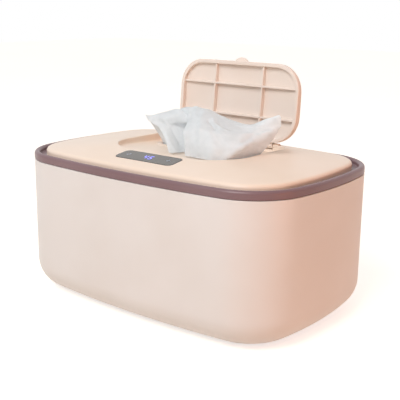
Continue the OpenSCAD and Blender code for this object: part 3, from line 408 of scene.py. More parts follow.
# %% [markdown]
# ## Rubber, felt, film and circuit board
#
# Feet are moulded rubber, dull and dark. The seal and the collar are silicone, paler, with a
# little light passing into them. Felt scatters light between its fibres, so it gets a sheen.
# Polyimide film is clear amber and glossy. A circuit board is green solder mask over copper.

# %% Soft and electric finishes
foot_rubber, tree, shader = finish_of("moulded_rubber", "#4A4646", 0.75, ior=1.52)
grain(tree, shader, place(tree), 0.8, 0.25)
tint(tree, shader, place(tree), "#4C4848", "#433F3F", 6)

silicone, tree, shader = finish_of("moulded_silicone", "#EADBCE", 0.5, ior=1.41)
shader.inputs["Subsurface Weight"].default_value = 0.25
shader.inputs["Subsurface Radius"].default_value = (0.004, 0.0035, 0.003)
tint(tree, shader, place(tree), "#ECDDD0", "#E5D5C8", 12)
grain(tree, shader, place(tree), 1.2, 0.1)

felt, tree, shader = finish_of("needled_felt", "#C2C2C8", 0.95, ior=1.45)
shader.inputs["Sheen Weight"].default_value = 0.4
tint(tree, shader, place(tree, (1, 1, 4)), "#C8C8CE", "#AEAEB6", 1.5)
grain(tree, shader, place(tree, (1, 1, 3)), 0.9, 0.7, depth=0.3)

amber_film, tree, shader = finish_of("polyimide_film", "#C07B22", 0.18, ior=1.7)
wave = add(tree, "ShaderNodeTexWave", {"Scale": 60.0, "Distortion": 0.4}, {"Vector": place(tree)})
ramp = add(tree, "ShaderNodeValToRGB", links={"Fac": wave.outputs["Fac"]})
ramp.color_ramp.elements[0].position, ramp.color_ramp.elements[1].position = 0.55, 0.62
ramp.color_ramp.elements[0].color, ramp.color_ramp.elements[1].color = linear("#C88428"), linear("#8A5418")
tree.links.new(ramp.outputs["Color"], shader.inputs["Base Color"])

board_green, tree, shader = finish_of("solder_mask_green", "#1F5A38", 0.3, ior=1.5)
brick = add(tree, "ShaderNodeTexVoronoi", {"Scale": per_mm(3.0)}, {"Vector": place(tree)},
            distance="MANHATTAN")
ramp = add(tree, "ShaderNodeValToRGB", links={"Fac": brick.outputs["Distance"]})
ramp.color_ramp.elements[0].position, ramp.color_ramp.elements[1].position = 0.18, 0.22
ramp.color_ramp.elements[0].color, ramp.color_ramp.elements[1].color = linear("#2C7549"), linear("#1D5535")
tree.links.new(ramp.outputs["Color"], shader.inputs["Base Color"])
print("soft and electric finishes ready")

# %% [markdown]
# ## Metals
#
# Screws and pins are zinc-plated steel, the magnets nickel-plated, the heat plate rolled
# aluminium with its fine rolling lines, the touch springs drawn brass. Metals take their colour
# from the reflection, so only roughness and a stretched grain tell them apart.

# %% Metals
def metal(name, light, dark, gloss, stretch=(1, 1, 1), size=1.2):
    """Metal with a drift of tone, uneven gloss and a grain that may run one way."""
    material, tree, shader = finish_of(name, light, sum(gloss) / 2, metallic=1.0)
    where = place(tree, stretch)
    tint(tree, shader, where, light, dark, size * 3)
    uneven_gloss(tree, shader, where, *gloss, size)
    grain(tree, shader, where, size, 0.15, depth=0.02)
    return material


zinc_steel = metal("zinc_plated_steel", "#C4C6CC", "#B4B6BC", (0.22, 0.36))
nickel = metal("nickel_plating", "#D2CFC8", "#C6C3BC", (0.08, 0.16), size=2.0)
rolled_aluminium = metal("rolled_aluminium", "#D5D8DC", "#C8CBD0", (0.25, 0.42), (1, 12, 1), 2.0)
drawn_brass = metal("drawn_brass", "#D9BE7C", "#CDB06A", (0.2, 0.3), (1, 1, 6), 1.0)
print("metals:", zinc_steel.name, nickel.name, rolled_aluminium.name, drawn_brass.name)

# %% [markdown]
# ## The panel's finishes
#
# The control panel is smoked acrylic: a polished grey window. The figures behind it are lit and
# glow a soft blue-violet. The touch marks are printed in pale ink, and a thin dark border is
# printed behind the window's edge, where it hides the glue.

# %% Panel finishes
smoked_acrylic, tree, shader = finish_of("smoked_acrylic", "#57524D", 0.12, ior=1.49)
tint(tree, shader, place(tree), "#5B5651", "#514D48", 20)
uneven_gloss(tree, shader, place(tree), 0.1, 0.16, 15)

lit_blue, tree, shader = finish_of("lit_figures", "#9C9CF6", 0.4, ior=1.49)
shader.inputs["Emission Color"].default_value = linear("#8E8EF8")
shader.inputs["Emission Strength"].default_value = 0.7
tint(tree, shader, place(tree), "#A2A2F8", "#9292F2", 1.5)

border_ink, tree, shader = finish_of("acrylic_over_dark_ink", "#2E2722", 0.14, ior=1.49)
tint(tree, shader, place(tree), "#332B25", "#28211D", 8)
uneven_gloss(tree, shader, place(tree), 0.1, 0.18, 6)

printed_ink, tree, shader = finish_of("printed_ink", "#AEB6C4", 0.45, ior=1.5)
tint(tree, shader, place(tree), "#B4BCCA", "#A6AEBC", 1.0)
grain(tree, shader, place(tree), 0.5, 0.1)
print("panel finishes ready")

# %% [markdown]
# ## The wipe's cloth
#
# A wipe is spunlaced non-woven: fibres tangled by water jets, moist and soft. It has no weave,
# only cloudy fibre density and a faint pattern of rows left by the jets, about 0.6 mm apart and
# drawn at 1.1 mm here so that it shows. Light passes through it, so part of the shader is
# translucent, and the fibres give a sheen.

# %% Spunlaced cloth
wipe_cloth, tree, shader = finish_of("spunlaced_non_woven", "#F4F7F9", 0.85, ior=1.45)
where = place(tree)
shader.inputs["Sheen Weight"].default_value = 0.25
shader.inputs["Sheen Roughness"].default_value = 0.5
tint(tree, shader, where, "#F6F9FB", "#ECF0F2", 5)
rows = add(tree, "ShaderNodeTexWave", {"Scale": per_mm(1.1) / 6.3, "Distortion": 2.5, "Detail": 2.0},
           {"Vector": where}, bands_direction="DIAGONAL")
fibres = add(tree, "ShaderNodeTexNoise", {"Scale": per_mm(0.9), "Detail": 4.0}, {"Vector": where})
lift = add(tree, "ShaderNodeMath", {1: 0.6}, {0: rows.outputs["Fac"], 2: fibres.outputs["Fac"]},
           operation="MULTIPLY_ADD")
bump = add(tree, "ShaderNodeBump", {"Strength": 0.35, "Distance": 0.2 * MM}, {"Height": lift.outputs[0]})
tree.links.new(bump.outputs["Normal"], shader.inputs["Normal"])
through = add(tree, "ShaderNodeBsdfTranslucent", {"Color": linear("#F4F7F9")},
              {"Normal": bump.outputs["Normal"]})
mix = add(tree, "ShaderNodeMixShader", {"Fac": 0.5},
          {1: shader.outputs["BSDF"], 2: through.outputs["BSDF"]})
tree.links.new(mix.outputs["Shader"], tree.nodes["Material Output"].inputs["Surface"])
print("cloth:", wipe_cloth.name)

FINISHES = {
    "body_plastic": body_abs, "cover_plastic": cover_abs, "ring_plastic": ring_abs,
    "inner_plastic": tank_pp, "foot_rubber": foot_rubber, "silicone": silicone,
    "screw_steel": zinc_steel, "heat_aluminium": rolled_aluminium, "heater_film": amber_film,
    "insulation": felt, "dark_plastic": dark_pbt, "circuit_board": board_green,
    "red_cable": red_pvc, "wipe_cloth": wipe_cloth, "magnet_plating": nickel,
    "flat_cable": flex_pet, "window_acrylic": smoked_acrylic, "lit_figures": lit_blue,
    "printed_marks": printed_ink, "spring_brass": drawn_brass}
SLOT_OF = {part["node"]: part["material_slot"] for part in frame["record"]["subparts"]}
BODY_OF = {node: body for body, names in frame["record"]["behaviour"]["bodies"].items() for node in names}


def dress(obj, *stands_for, body=None, finish=None):
    """Finish, slot and body of a piece, taken from the nodes that it stands for."""
    slot = SLOT_OF[stands_for[0]]
    obj.data.materials.clear()
    obj.data.materials.append(finish or FINISHES[slot])
    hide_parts(*stands_for)
    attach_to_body(obj, body or BODY_OF[stands_for[0]])
    print(obj.name, "stands for", ", ".join(stands_for), "with", len(obj.data.polygons), "faces")
    return obj


# %% [markdown]
# ## Outer shell
#
# The shell is one wall carried round the body: up from the foot, round the big 22 mm foot
# radius, up the side, over the top deck and back down the inside. A closed profile swept round
# the outline gives it at once. The rear notch for the hinge and the hole for the power inlet are
# cut afterwards with Booleans, which keep crisp edges where a mould has them.

# %% Outer shell
deck_z, flange_z, deck_w, flange_in = BODY_H - 4.4, BODY_H - 2.0, 11.0, 7.6
plate_top = FOOT_Z + PLATE_T
foot_c = FOOT_Z + BASE_ROUND
inner_r = BASE_ROUND - SHELL_WALL
soft = 0.5
ledge_top = plate_top + 2.0
ledge_turn = math.degrees(math.asin((ledge_top - foot_c) / inner_r))
outside = [(BASE_ROUND * (1 - math.cos(a)), foot_c + BASE_ROUND * math.sin(a)) for a in arc_steps(18, -90, 0)]
top_edge = [(soft - soft * math.cos(a), BODY_H - soft + soft * math.sin(a)) for a in arc_steps(4)]
deck = [(flange_in - 0.5, BODY_H), (flange_in - 0.3, BODY_H - 0.2), (flange_in - 0.3, flange_z),
        (deck_w, flange_z), (deck_w, deck_z), (SHELL_WALL, deck_z)]
inside = [(SHELL_WALL + inner_r * (1 - math.cos(a)), foot_c + inner_r * math.sin(a))
          for a in arc_steps(12, 0, ledge_turn)]
foot = [(BASE_ROUND + 8, ledge_top), (BASE_ROUND + 8, plate_top), (BASE_ROUND + 2, plate_top),
        (BASE_ROUND + 2, FOOT_Z + 0.2), (BASE_ROUND + 1.8, FOOT_Z)]
shell = build("shell_skin", band(outside + [(0, 60.0)] + top_edge + deck + inside + foot))

HINGE_Y, HINGE_Z, KNUCKLE_R = HALF_W - 0.7, BODY_H + GAP / 2, 3.0
NOTCH_HALF, NOTCH_Y = 39.5, HALF_W - 5.0
NOTCH_Z = HINGE_Z - KNUCKLE_R - 4.4
PIN_R, BORE_GAP = 1.5, 0.05
JACK_X, JACK_Z, JACK_R = -70.0, 24.0, 5.0
jack_y = FRONT_C[1] + math.sqrt(FRONT_BOW_R ** 2 - JACK_X ** 2) - 2.2
ribbon_x, ribbon_half, ribbon_t = 24.0, 2.8, 0.5
magnet = CORNER + (CORNER_R - 4.8) * math.sqrt(0.5)
boss = CORNER + (CORNER_R - BASE_ROUND - 5) * math.sqrt(0.5)


def knuckle(x0, x1, drop_to, bore):
    """Hinge knuckle: round top, straight legs down to a height, bored for the pin, swept along X."""
    a = arc_steps(24, 0, 180)
    n = 12
    down = np.linspace(0, 1, n + 1)[1:, None]
    top = np.stack([HINGE_Y + KNUCKLE_R * np.cos(a), HINGE_Z + KNUCKLE_R * np.sin(a)], 1)
    left = np.array([top[-1], (top[-1][0], drop_to)])
    right = np.array([(HALF_W - 0.4, drop_to), (HALF_W - 0.4, HINGE_Z), top[0]])
    ring = np.concatenate([top, left[0] + down * (left[1] - left[0]),
                           left[1] + down * (right[0] - left[1]), right[0] + down[:-1] * (right[1] - right[0])])
    turn = np.linspace(0, 2 * math.pi, len(ring), endpoint=False)
    hole = np.stack([HINGE_Y + bore * np.cos(turn), HINGE_Z + bore * np.sin(turn)], 1)
    def at(curve, x):
        return np.column_stack([np.full(len(curve), x), curve])
    return solid([at(ring, x0), at(ring, x1), at(hole, x1), at(hole, x0)], loop=True)


carve(shell, block(-NOTCH_HALF, NOTCH_HALF, NOTCH_Y, HALF_W + 5, NOTCH_Z, BODY_H + 1), "DIFFERENCE")
notch_shelf = together([
    block(-NOTCH_HALF - 2, NOTCH_HALF + 2, HALF_W - flange_in + 0.3, HALF_W - 2.2, NOTCH_Z - 4, NOTCH_Z),
    block(-NOTCH_HALF - 2, NOTCH_HALF + 2, HALF_W - flange_in + 0.3, NOTCH_Y, NOTCH_Z - 1, deck_z + 1)])
carve(shell, notch_shelf, "UNION")
holes = [rod(1, JACK_R + 0.05, jack_y - 8, HALF_W + 5, (JACK_X, 0, JACK_Z), n=64),
         block(ribbon_x - 3, ribbon_x + 3, HALF_W - flange_in - 1, NOTCH_Y + 1, NOTCH_Z + 0.6,
               NOTCH_Z + 1.0 + ribbon_t)]
for s in (-1, 1):
    holes.append(rod(2, 1.8, deck_z - 1, deck_z + 1.6, (s * magnet[0], -magnet[1], 0)))
carve(shell, together(holes), "DIFFERENCE")
extras = [knuckle(s * 9.3, s * 20, NOTCH_Z - 0.5, PIN_R + BORE_GAP) for s in (-1, 1)]
extras += [sleeve(2, 4.0, 1.3, plate_top, plate_top + 10, (sx * boss[0], sy * boss[1], 0))
           for sx in (-1, 1) for sy in (-1, 1)]
extras.append(sleeve(1, JACK_R + 2.4, JACK_R + 0.05, jack_y - 4, jack_y + 1, (JACK_X, 0, JACK_Z), n=64))


def attach(obj, shapes):
    """Add more closed solids to a finished piece without welding them."""
    extra = build(obj.name + "_more", together(shapes))
    bm = bmesh.new()
    bm.from_mesh(obj.data)
    bm.from_mesh(extra.data)
    bm.to_mesh(obj.data)
    bm.free()
    bpy.data.objects.remove(extra)
    soften(obj)


attach(shell, extras)
dress(shell, "outer_shell")

# %% [markdown]
# ## Trim ring
#
# The mauve ring is the lid's rim. Its crest is a full round, and inside it drops into a deep
# groove from which the cover rises. Again one closed profile carried round the outline makes
# it, with the groove for the seal on the underside. Its knuckles stand in the rear notch.

# %% Trim ring
crest_r = RING_WALL / 2
crest_z = RING_Z + RING_H - crest_r
groove_r = 0.8
profile = [(0.35, RING_Z), (0, RING_Z + 0.35)]
profile += [(crest_r - crest_r * math.cos(a), crest_z + crest_r * math.sin(a)) for a in arc_steps(16, 0, 180)]
profile += [(RING_WALL + groove_r * (1 - math.cos(a)), RING_FLOOR + groove_r * (1 - math.sin(a)))
            for a in arc_steps(5)]
profile += [(RING_IN, RING_FLOOR), (RING_IN, RING_Z), (10.9, RING_Z), (10.9, RING_Z + 1.4),
            (8.6, RING_Z + 1.4), (8.6, RING_Z)]
ring = build("mauve_ring", band(profile))
carve(ring, block(-NOTCH_HALF, NOTCH_HALF, NOTCH_Y, HALF_W + 5, RING_Z - 1, RING_Z + RING_H + 1), "DIFFERENCE")
carve(ring, block(-NOTCH_HALF - 2, NOTCH_HALF + 2, NOTCH_Y - 2, NOTCH_Y, RING_FLOOR - 1,
                  RING_Z + RING_H - 0.6), "UNION")
slot_way = [block(ribbon_x - 3, ribbon_x + 3, NOTCH_Y - 4, NOTCH_Y + 1, RING_FLOOR, RING_FLOOR + 0.3 + ribbon_t,
                  edge=0.05)]
for s in (-1, 1):
    slot_way.append(rod(2, 1.8, RING_Z - 1, RING_Z + 1.6, (s * magnet[0], -magnet[1], 0)))
carve(ring, together(slot_way), "DIFFERENCE")
arms = []
for x0, x1 in ((-9, 9), (28, 38.5), (-38.5, -28)):
    arms.append(sleeve(0, KNUCKLE_R, PIN_R + BORE_GAP, x0, x1, (0, HINGE_Y, HINGE_Z)))
    arms.append(block(x0, x1, NOTCH_Y - 1, HINGE_Y - PIN_R - 0.3, RING_Z, HINGE_Z + KNUCKLE_R))
attach(ring, arms)
dress(ring, "trim_ring")


# %% [markdown]
# ## Top cover
#
# The cover is the face of the object: a flat dome with a shallow dish. Its whole skin is one
# stack of rings. It starts as the bowed outline at the side wall, rolls over the edge, runs
# across the dome while it flows into the rounded rectangle of the dish, rolls softly over the
# rim, down the wall, across the tilted floor to the slot, and back on the underside.

# %% Heights of the dome and of the tilted dish
def dome(x, y, inset=DOME_IN, drop=0.0):
    """Edge height plus rise times (1 - s squared), s being the scale of the edge ring through (x, y)."""
    edge = outline(inset, fine=12)
    angle = np.arctan2(edge[:, 1], edge[:, 0])
    order = np.argsort(angle)
    reach = np.interp(np.arctan2(y, x), angle[order], np.hypot(*edge.T)[order], period=2 * math.pi)
    s = np.hypot(x, y) / reach
    return EDGE_Z - drop + DOME_RISE * (1 - s * s)


DISH_L, DISH_R, DISH_DEPTH = 113.4, 22.0, 7.2
DISH_REAR = HALF_W - 29.95
PANEL_L, PANEL_W, PANEL_R, WINDOW_T = 52.6, 16.0, 4.4, 1.6
PANEL_Y = 29.3 - HALF_W
DISH_FRONT = PANEL_Y + PANEL_W / 2 + 4.65
DISH_W, DISH_Y = DISH_REAR - DISH_FRONT, (DISH_REAR + DISH_FRONT) / 2
SLOT_L, SLOT_W, SLOT_Y = 92.0, 21.0, DISH_REAR - 32.05
DISH_FLOOR = float(dome(0.0, DISH_Y)) - DISH_DEPTH


def floor_at(y):
    """Height of the dish's floor, which falls to the rear by the tilt."""
    return DISH_FLOOR - (y - DISH_Y) * math.tan(TILT)


def laid(flat, up, y0, z0):
    """Points of a tilted frame at (y0, z0): flat is its plan, up the height above its floor."""
    y, z = flat[:, 1], up + np.zeros(len(flat))
    return np.column_stack([flat[:, 0], y0 + y * math.cos(TILT) + z * math.sin(TILT),
                            z0 - y * math.sin(TILT) + z * math.cos(TILT)])


def dome_above(flat, y0, z0, drop=0.0, inset=DOME_IN):
    """Height of the dome over a plan point of a tilted frame, found by three rounds of substitution."""
    up = np.zeros(len(flat))
    for _ in range(4):
        world = laid(flat, up, y0, z0)
        up = up + (dome(world[:, 0], world[:, 1], inset, drop) - world[:, 2]) / math.cos(TILT)
    return up


print("dish floor at its middle", round(DISH_FLOOR, 3), "slot at y", SLOT_Y)


# %% The cover's skin as one stack of rings
DISH_FRONT_R = DISH_R + 5


def dish_plan(e):
    """Plan of the dish drawn in by e; its front corners are rounder than the flip lid's rear ones."""
    rear, front = (rounded(DISH_L - 2 * e, DISH_W - 2 * e, r - e) for r in (DISH_R, DISH_FRONT_R))
    return np.where(rear[:, 1:] >= 0, rear, front)


def on_dome(flat, inset=DOME_IN, drop=0.0):
    return np.column_stack([flat, dome(flat[:, 0], flat[:, 1], inset, drop)])


def between(a, b, n):
    """n rings that flow from plan a to plan b, ends left out."""
    return [a + (b - a) * t for t in np.linspace(0, 1, n + 2)[1:-1]]


edge_c = EDGE_Z - EDGE_R * math.sin(EDGE_TURN)
plan = dish_plan(0)
front_share = np.clip((-plan[:, 1] - DISH_W / 2 + DISH_R) / DISH_R, 0, 1)
rim_r = 0.8 + 0.6 * front_share
floor_r = 1.4 - 0.6 * front_share
rings = [np.column_stack([outline(COVER_IN), np.full(RIM_N, RING_FLOOR)])]
rings += [np.column_stack([outline(COVER_IN + EDGE_R * (1 - math.cos(a))),
                           np.full(RIM_N, edge_c + EDGE_R * math.sin(a))])
          for a in arc_steps(8, 0, math.degrees(EDGE_TURN))]


def outward(flat, by):
    """Plan ring moved outwards, point by point, by the lengths in by."""
    ahead = np.roll(flat, -1, 0) - np.roll(flat, 1, 0)
    side = np.stack([ahead[:, 1], -ahead[:, 0]], 1)
    return flat + side / np.linalg.norm(side, axis=1)[:, None] * by[:, None]


rim_plan = outward(plan, rim_r)
rim_top = dome_above(rim_plan, DISH_Y, DISH_FLOOR)
rim_start = laid(rim_plan, rim_top, DISH_Y, DISH_FLOOR)
rings += [on_dome(flat) for flat in between(outline(DOME_IN), rim_start[:, :2], 16)]
rings += [laid(outward(plan, rim_r * (1 - math.sin(a))), rim_top - rim_r * (1 - math.cos(a)), DISH_Y, DISH_FLOOR)
          for a in arc_steps(7)]
rings += [laid(outward(plan, -floor_r * (1 - math.cos(a))), floor_r * (1 - math.sin(a)), DISH_Y, DISH_FLOOR)
          for a in arc_steps(7)]


def slot_plan(grow):
    """Plan of the dispensing slot, grown all round."""
    return rounded(SLOT_L + 2 * grow, SLOT_W + 2 * grow, SLOT_W / 2 + grow - 0.3) + [0, SLOT_Y]


def on_floor(flat, drop=0.0):
    return np.column_stack([flat, floor_at(flat[:, 1]) - drop])


floor_edge = rings[-1][:, :2]
rings += [on_floor(flat) for flat in between(floor_edge, slot_plan(0.3), 10)]
rings += [on_floor(slot_plan(0.3)), on_floor(slot_plan(0.0), 0.3), on_floor(slot_plan(0.0), 1.8)]
under = outward(plan, np.full(RIM_N, 1.8))
under_edge = laid(under, -1.8, DISH_Y, DISH_FLOOR)
rings += [on_floor(flat, 1.8) for flat in between(slot_plan(0.0), under_edge[:, :2], 6)]
rings.append(under_edge)
inner_in = DOME_IN + COVER_WALL
wall_top = dome_above(under, DISH_Y, DISH_FLOOR, SKIN_DROP, inner_in)
wall_start = laid(under, wall_top, DISH_Y, DISH_FLOOR)
rings.append(wall_start)
rings += [on_dome(flat, inner_in, SKIN_DROP) for flat in between(wall_start[:, :2], outline(inner_in), 8)]
rings += [np.column_stack([outline(COVER_IN + COVER_WALL + EDGE_R * (1 - math.cos(a))),
                           np.full(RIM_N, edge_c - SKIN_DROP + EDGE_R * math.sin(a))])
          for a in arc_steps(6, math.degrees(EDGE_TURN), 0)]
rings.append(np.column_stack([outline(COVER_IN + COVER_WALL), np.full(RIM_N, RING_FLOOR)]))
cover = build("dished_cover", solid(rings, loop=True))
print("cover skin of", len(rings), "rings")

# %% [markdown]
# ## Hinge seat, panel pocket and screw bosses of the cover
#
# Behind the dish a block is welded on and hollowed to a trough, in which the flip lid's barrel
# turns between two ears. Two stops behind it catch the open flip lid. The panel's pocket is cut
# along the slope of the dome, so the window lies flush.

# %% Cover details
FLIP_GAP, FLIP_OPEN = 0.6, 92.4
FLIP_L, FLIP_W, FLIP_R = DISH_L - 2 * FLIP_GAP, 59.5, DISH_R - 1.3
FLIP_REAR = DISH_REAR - FLIP_GAP
FLIP_MID = FLIP_REAR - FLIP_W / 2
AXIS_Y = FLIP_REAR + 2.4
AXIS_Z = float(dome(0.0, FLIP_REAR)) - 1.3
BARREL_R, BARREL_HALF = 2.4, FLIP_L / 2 - FLIP_R + 0.6
EAR_X, EAR_W, EAR_R = BARREL_HALF + 0.4, 5.0, 2.05
TROUGH_R = BARREL_R + 0.5
FLIP_PIN_R = 1.2


def opened(shape):
    """Turned from closed to its stop about the flip hinge."""
    return moved(shape, lambda p: tipped(p, -FLIP_OPEN, AXIS_Y, AXIS_Z))


def flip_stop(s):
    """Stop behind the flip lid: an outline in Y and Z, 6 mm wide, drawn with the lid closed."""
    rest = float(dome(0.0, FLIP_REAR - 4)) - AXIS_Z + 0.45
    flat = np.array([(-6, rest), (-6, rest + 2.5), (2.6, rest + 2.5), (2.6, TROUGH_R), (-2, TROUGH_R), (-3, rest)])
    flat = flat + [AXIS_Y, AXIS_Z]
    return opened(solid([np.column_stack([np.full(6, x), flat]) for x in (s * 19 - 3, s * 19 + 3)]))


seat_y = (DISH_REAR + 0.2, AXIS_Y + 6)
seat = [block(-EAR_X - EAR_W - 1, EAR_X + EAR_W + 1, *seat_y, AXIS_Z - TROUGH_R - 2,
              float(dome(0.0, seat_y[1])) - 1)]
for s in (-1, 1):
    ends = sorted((s * EAR_X, s * (EAR_X + EAR_W)))
    seat.append(rod(0, EAR_R, *ends, (0, AXIS_Y, AXIS_Z), n=48))
    seat.append(flip_stop(s))
carve(cover, together(seat), "UNION")
panel_tilt = math.degrees(math.atan(-2 * DOME_RISE * PANEL_Y / (HALF_W - DOME_IN) ** 2))
PANEL_Z = float(dome(0.0, PANEL_Y))


def on_panel(shape):
    """From the panel's own frame to its place in the slope of the dome."""
    return moved(shape, lambda p: tipped(p + [0, PANEL_Y, PANEL_Z], panel_tilt, PANEL_Y, PANEL_Z))


def slab(plan_curve, z0, z1):
    """Plan curve lifted from z0 to z1."""
    return solid([np.column_stack([plan_curve, np.full(len(plan_curve), z)]) for z in (z0, z1)])


cuts = [rod(0, TROUGH_R, -EAR_X, EAR_X, (0, AXIS_Y, AXIS_Z), edge=0.01, n=48),
        block(-EAR_X, EAR_X, DISH_REAR - 2, AXIS_Y, AXIS_Z - TROUGH_R, AXIS_Z + 10, edge=0.01),
        rod(0, FLIP_PIN_R + 0.05, -EAR_X - EAR_W - 1, EAR_X + EAR_W + 1, (0, AXIS_Y, AXIS_Z)),
        block(ribbon_x - 3, ribbon_x + 3, HALF_W - COVER_IN - COVER_WALL - 3, HALF_W - COVER_IN + 1,
              RING_FLOOR - 1, RING_FLOOR + 0.3 + ribbon_t, edge=0.05),
        on_panel(slab(rounded(PANEL_L + 0.3, PANEL_W + 0.3, PANEL_R + 0.15), -WINDOW_T, 4)),
        on_panel(slab(rounded(PANEL_L - 6, PANEL_W - 5, 2), -8, 4))]
carve(cover, together(cuts), "DIFFERENCE")
lid_boss = CORNER + (CORNER_R - 21) * math.sqrt(0.5)
spots = [(sx * lid_boss[0], sy * lid_boss[1]) for sx in (-1, 1) for sy in (-1, 1)]
spots += [(s * (HALF_L - 21), 0) for s in (-1, 1)]
attach(cover, [sleeve(2, 3.2, 1.0, RING_Z, EDGE_Z + 0.4, (*p, 0)) for p in spots])
dress(cover, "top_cover")


# %% [markdown]
# ## Flip lid
#
# The flip lid is a shallow tray, drawn closed and then turned open. From its middle the rings
# run out over the domed top, round the edge, down the side, under the rim and back along the
# inside. Ribs cross it in a 3 by 3 pattern, a finger tab stands out in front and a barrel with
# a bore carries it on its pin.

# %% Flip lid
def flip_plan(e):
    return rounded(FLIP_L - 2 * e, FLIP_W - 2 * e, FLIP_R - e)


flip_floor = floor_at(FLIP_MID) + 1.0
flip_skin, flip_rim, edge_round, soft, bend = 1.6, 3.0, 0.6, 0.4, 0.9
here = (FLIP_MID, flip_floor)
top_plan, inner_plan = flip_plan(edge_round), flip_plan(flip_rim + bend)
top_up = dome_above(top_plan, *here)
inner_up = dome_above(inner_plan, *here, flip_skin)
rings = []
for s in np.linspace(0.03, 1, 14)[:-1]:
    rings.append(laid(top_plan * s, dome_above(top_plan * s, *here), *here))
rings += [laid(flip_plan(edge_round * (1 - math.sin(a))), top_up - edge_round * (1 - math.cos(a)), *here)
          for a in arc_steps(7)]
rings += [laid(flip_plan(soft * (1 - math.cos(a))), soft * (1 - math.sin(a)), *here) for a in arc_steps(4)]
rings += [laid(flip_plan(flip_rim - soft + soft * math.sin(a)), soft * (1 - math.cos(a)), *here)
          for a in arc_steps(4)]
rings += [laid(flip_plan(flip_rim + bend * (1 - math.cos(a))), inner_up - bend * (1 - math.sin(a)), *here)
          for a in arc_steps(5)]
for s in np.linspace(1, 0.03, 12)[1:]:
    rings.append(laid(inner_plan * s, dome_above(inner_plan * s, *here, flip_skin), *here))
tray = solid(rings)

RIB_T, RIB_X, RIB_PITCH, RIB_LIFT = 1.5, 22.5, 23.5, 0.9


def rib(across_x, at, half):
    """Rib under the skin: a slim section with a rounded foot, carried along X or Y under the dome."""
    run = np.linspace(-half, half, 33)
    section = [(-0.6, None), (-0.5, RIB_LIFT + 0.3), (-0.3, RIB_LIFT), (0.3, RIB_LIFT), (0.5, RIB_LIFT + 0.3), (0.6, None)]
    stations = []
    for off, up in section:
        flat = np.stack([run, np.full(33, at + off * RIB_T)] if across_x else
                        [np.full(33, at + off * RIB_T), run], 1)
        high = dome_above(flat, *here, flip_skin / 2) if up is None else np.full(33, up)
        stations.append(laid(flat, high, *here))
    return solid(np.stack(stations, 1))


ribs = [rib(False, s * RIB_X, FLIP_W / 2 - 1) for s in (-1, 1)]
ribs += [rib(True, s * RIB_PITCH / 2, FLIP_L / 2 - 1) for s in (-1, 1)]

TAB_W, TAB_OUT, TAB_T, TAB_Z = 12.5, 3.0, 1.8, 3.0
tab_r = (TAB_W ** 2 / 4 + TAB_OUT ** 2) / (2 * TAB_OUT)
tab_c = -FLIP_W / 2 + tab_r - TAB_OUT
reach = math.degrees(math.acos(min(1, (tab_c + FLIP_W / 2 - 1.4) / tab_r)))


def tab_ring(inset, up):
    """Rounded end of the tab: an arc of its circle, closed by the chord inside the rim."""
    a = np.radians(np.linspace(-90 - reach, -90 + reach, 25))
    flat = np.stack([(tab_r - inset) * np.cos(a), tab_c + (tab_r - inset) * np.sin(a)], 1)
    return laid(flat, TAB_Z + up, *here)


tab = solid([tab_ring(0.4, 0), tab_ring(0.1, 0.15), tab_ring(0, 0.5), tab_ring(0, TAB_T - 0.5),
             tab_ring(0.1, TAB_T - 0.15), tab_ring(0.4, TAB_T)])
barrel = sleeve(0, BARREL_R, FLIP_PIN_R + 0.05, -BARREL_HALF, BARREL_HALF, (0, AXIS_Y, AXIS_Z), n=48)
neck = block(-BARREL_HALF, BARREL_HALF, FLIP_REAR - 2.5, AXIS_Y - FLIP_PIN_R - 0.1, AXIS_Z - 1.8, AXIS_Z + 0.9)
flip = build("flip_lid_tray", opened(together([tray, tab, barrel, neck] + ribs)))
# Its finish is the cover's plastic with painted shade in its colour.
dress(flip, "flip_lid", finish=flip_abs_painted_shade)


# %% [markdown]
# ## Control panel
#
# The window is a small rounded plate, polished on its edge, set flush in the dome. The figures
# are seven-segment bars with pointed ends, as in every such display, and show a temperature.

# %% Control panel
def window_ring(inset, z):
    flat = rounded(PANEL_L - 2 * inset, PANEL_W - 2 * inset, PANEL_R - inset)
    return np.column_stack([flat, np.full(RIM_N, z)])


BORDER = 0.7
window_rings = [window_ring(0, -WINDOW_T), window_ring(0, -0.3)]
window_rings += [window_ring(0.3 * (1 - math.cos(a)), -0.3 + 0.3 * math.sin(a)) for a in arc_steps(4)[1:]]
window_rings.append(window_ring(BORDER, 0))
window = build("panel_glass", on_panel(solid(window_rings)), crease=50)
dress(window, "panel_window")
window.data.materials.append(border_ink)
in_border = np.zeros(len(window.data.polygons), np.int32)
in_border[:(len(window_rings) - 1) * RIM_N] = 1
window.data.polygons.foreach_set("material_index", in_border)

DIGIT_H, MARK_T = 6.0, 0.15
bar_l, bar_t = DIGIT_H / 2 - 0.25, DIGIT_H * 0.13


def segment(x, y, upright):
    """One bar: a long hexagon, 0.15 mm thick."""
    h, t = bar_l / 2, bar_t / 2
    flat = np.array([(-h, 0), (-h + t, -t), (h - t, -t), (h, 0), (h - t, t), (-h + t, t)])
    flat = flat[:, ::-1] if upright else flat
    return slab(flat + [x, y], 0.0, MARK_T)


def figure(x, lit):
    """Seven-segment figure: bars numbered from the top clockwise, the middle one last."""
    w, h = DIGIT_H * 0.5 / 2 - bar_t / 2, DIGIT_H / 2 - bar_t / 2
    spots = [(0, h, False), (w, h / 2, True), (w, -h / 2, True), (0, -h, False), (-w, -h / 2, True),
             (-w, h / 2, True), (0, 0, False)]
    return [segment(x + spots[k][0], spots[k][1], spots[k][2]) for k in lit]


digits = build("lit_figures_45", on_panel(together(figure(-2.25, (5, 6, 1, 2)) + figure(2.25, (0, 5, 6, 2, 3)))))
dress(digits, "display_digits")
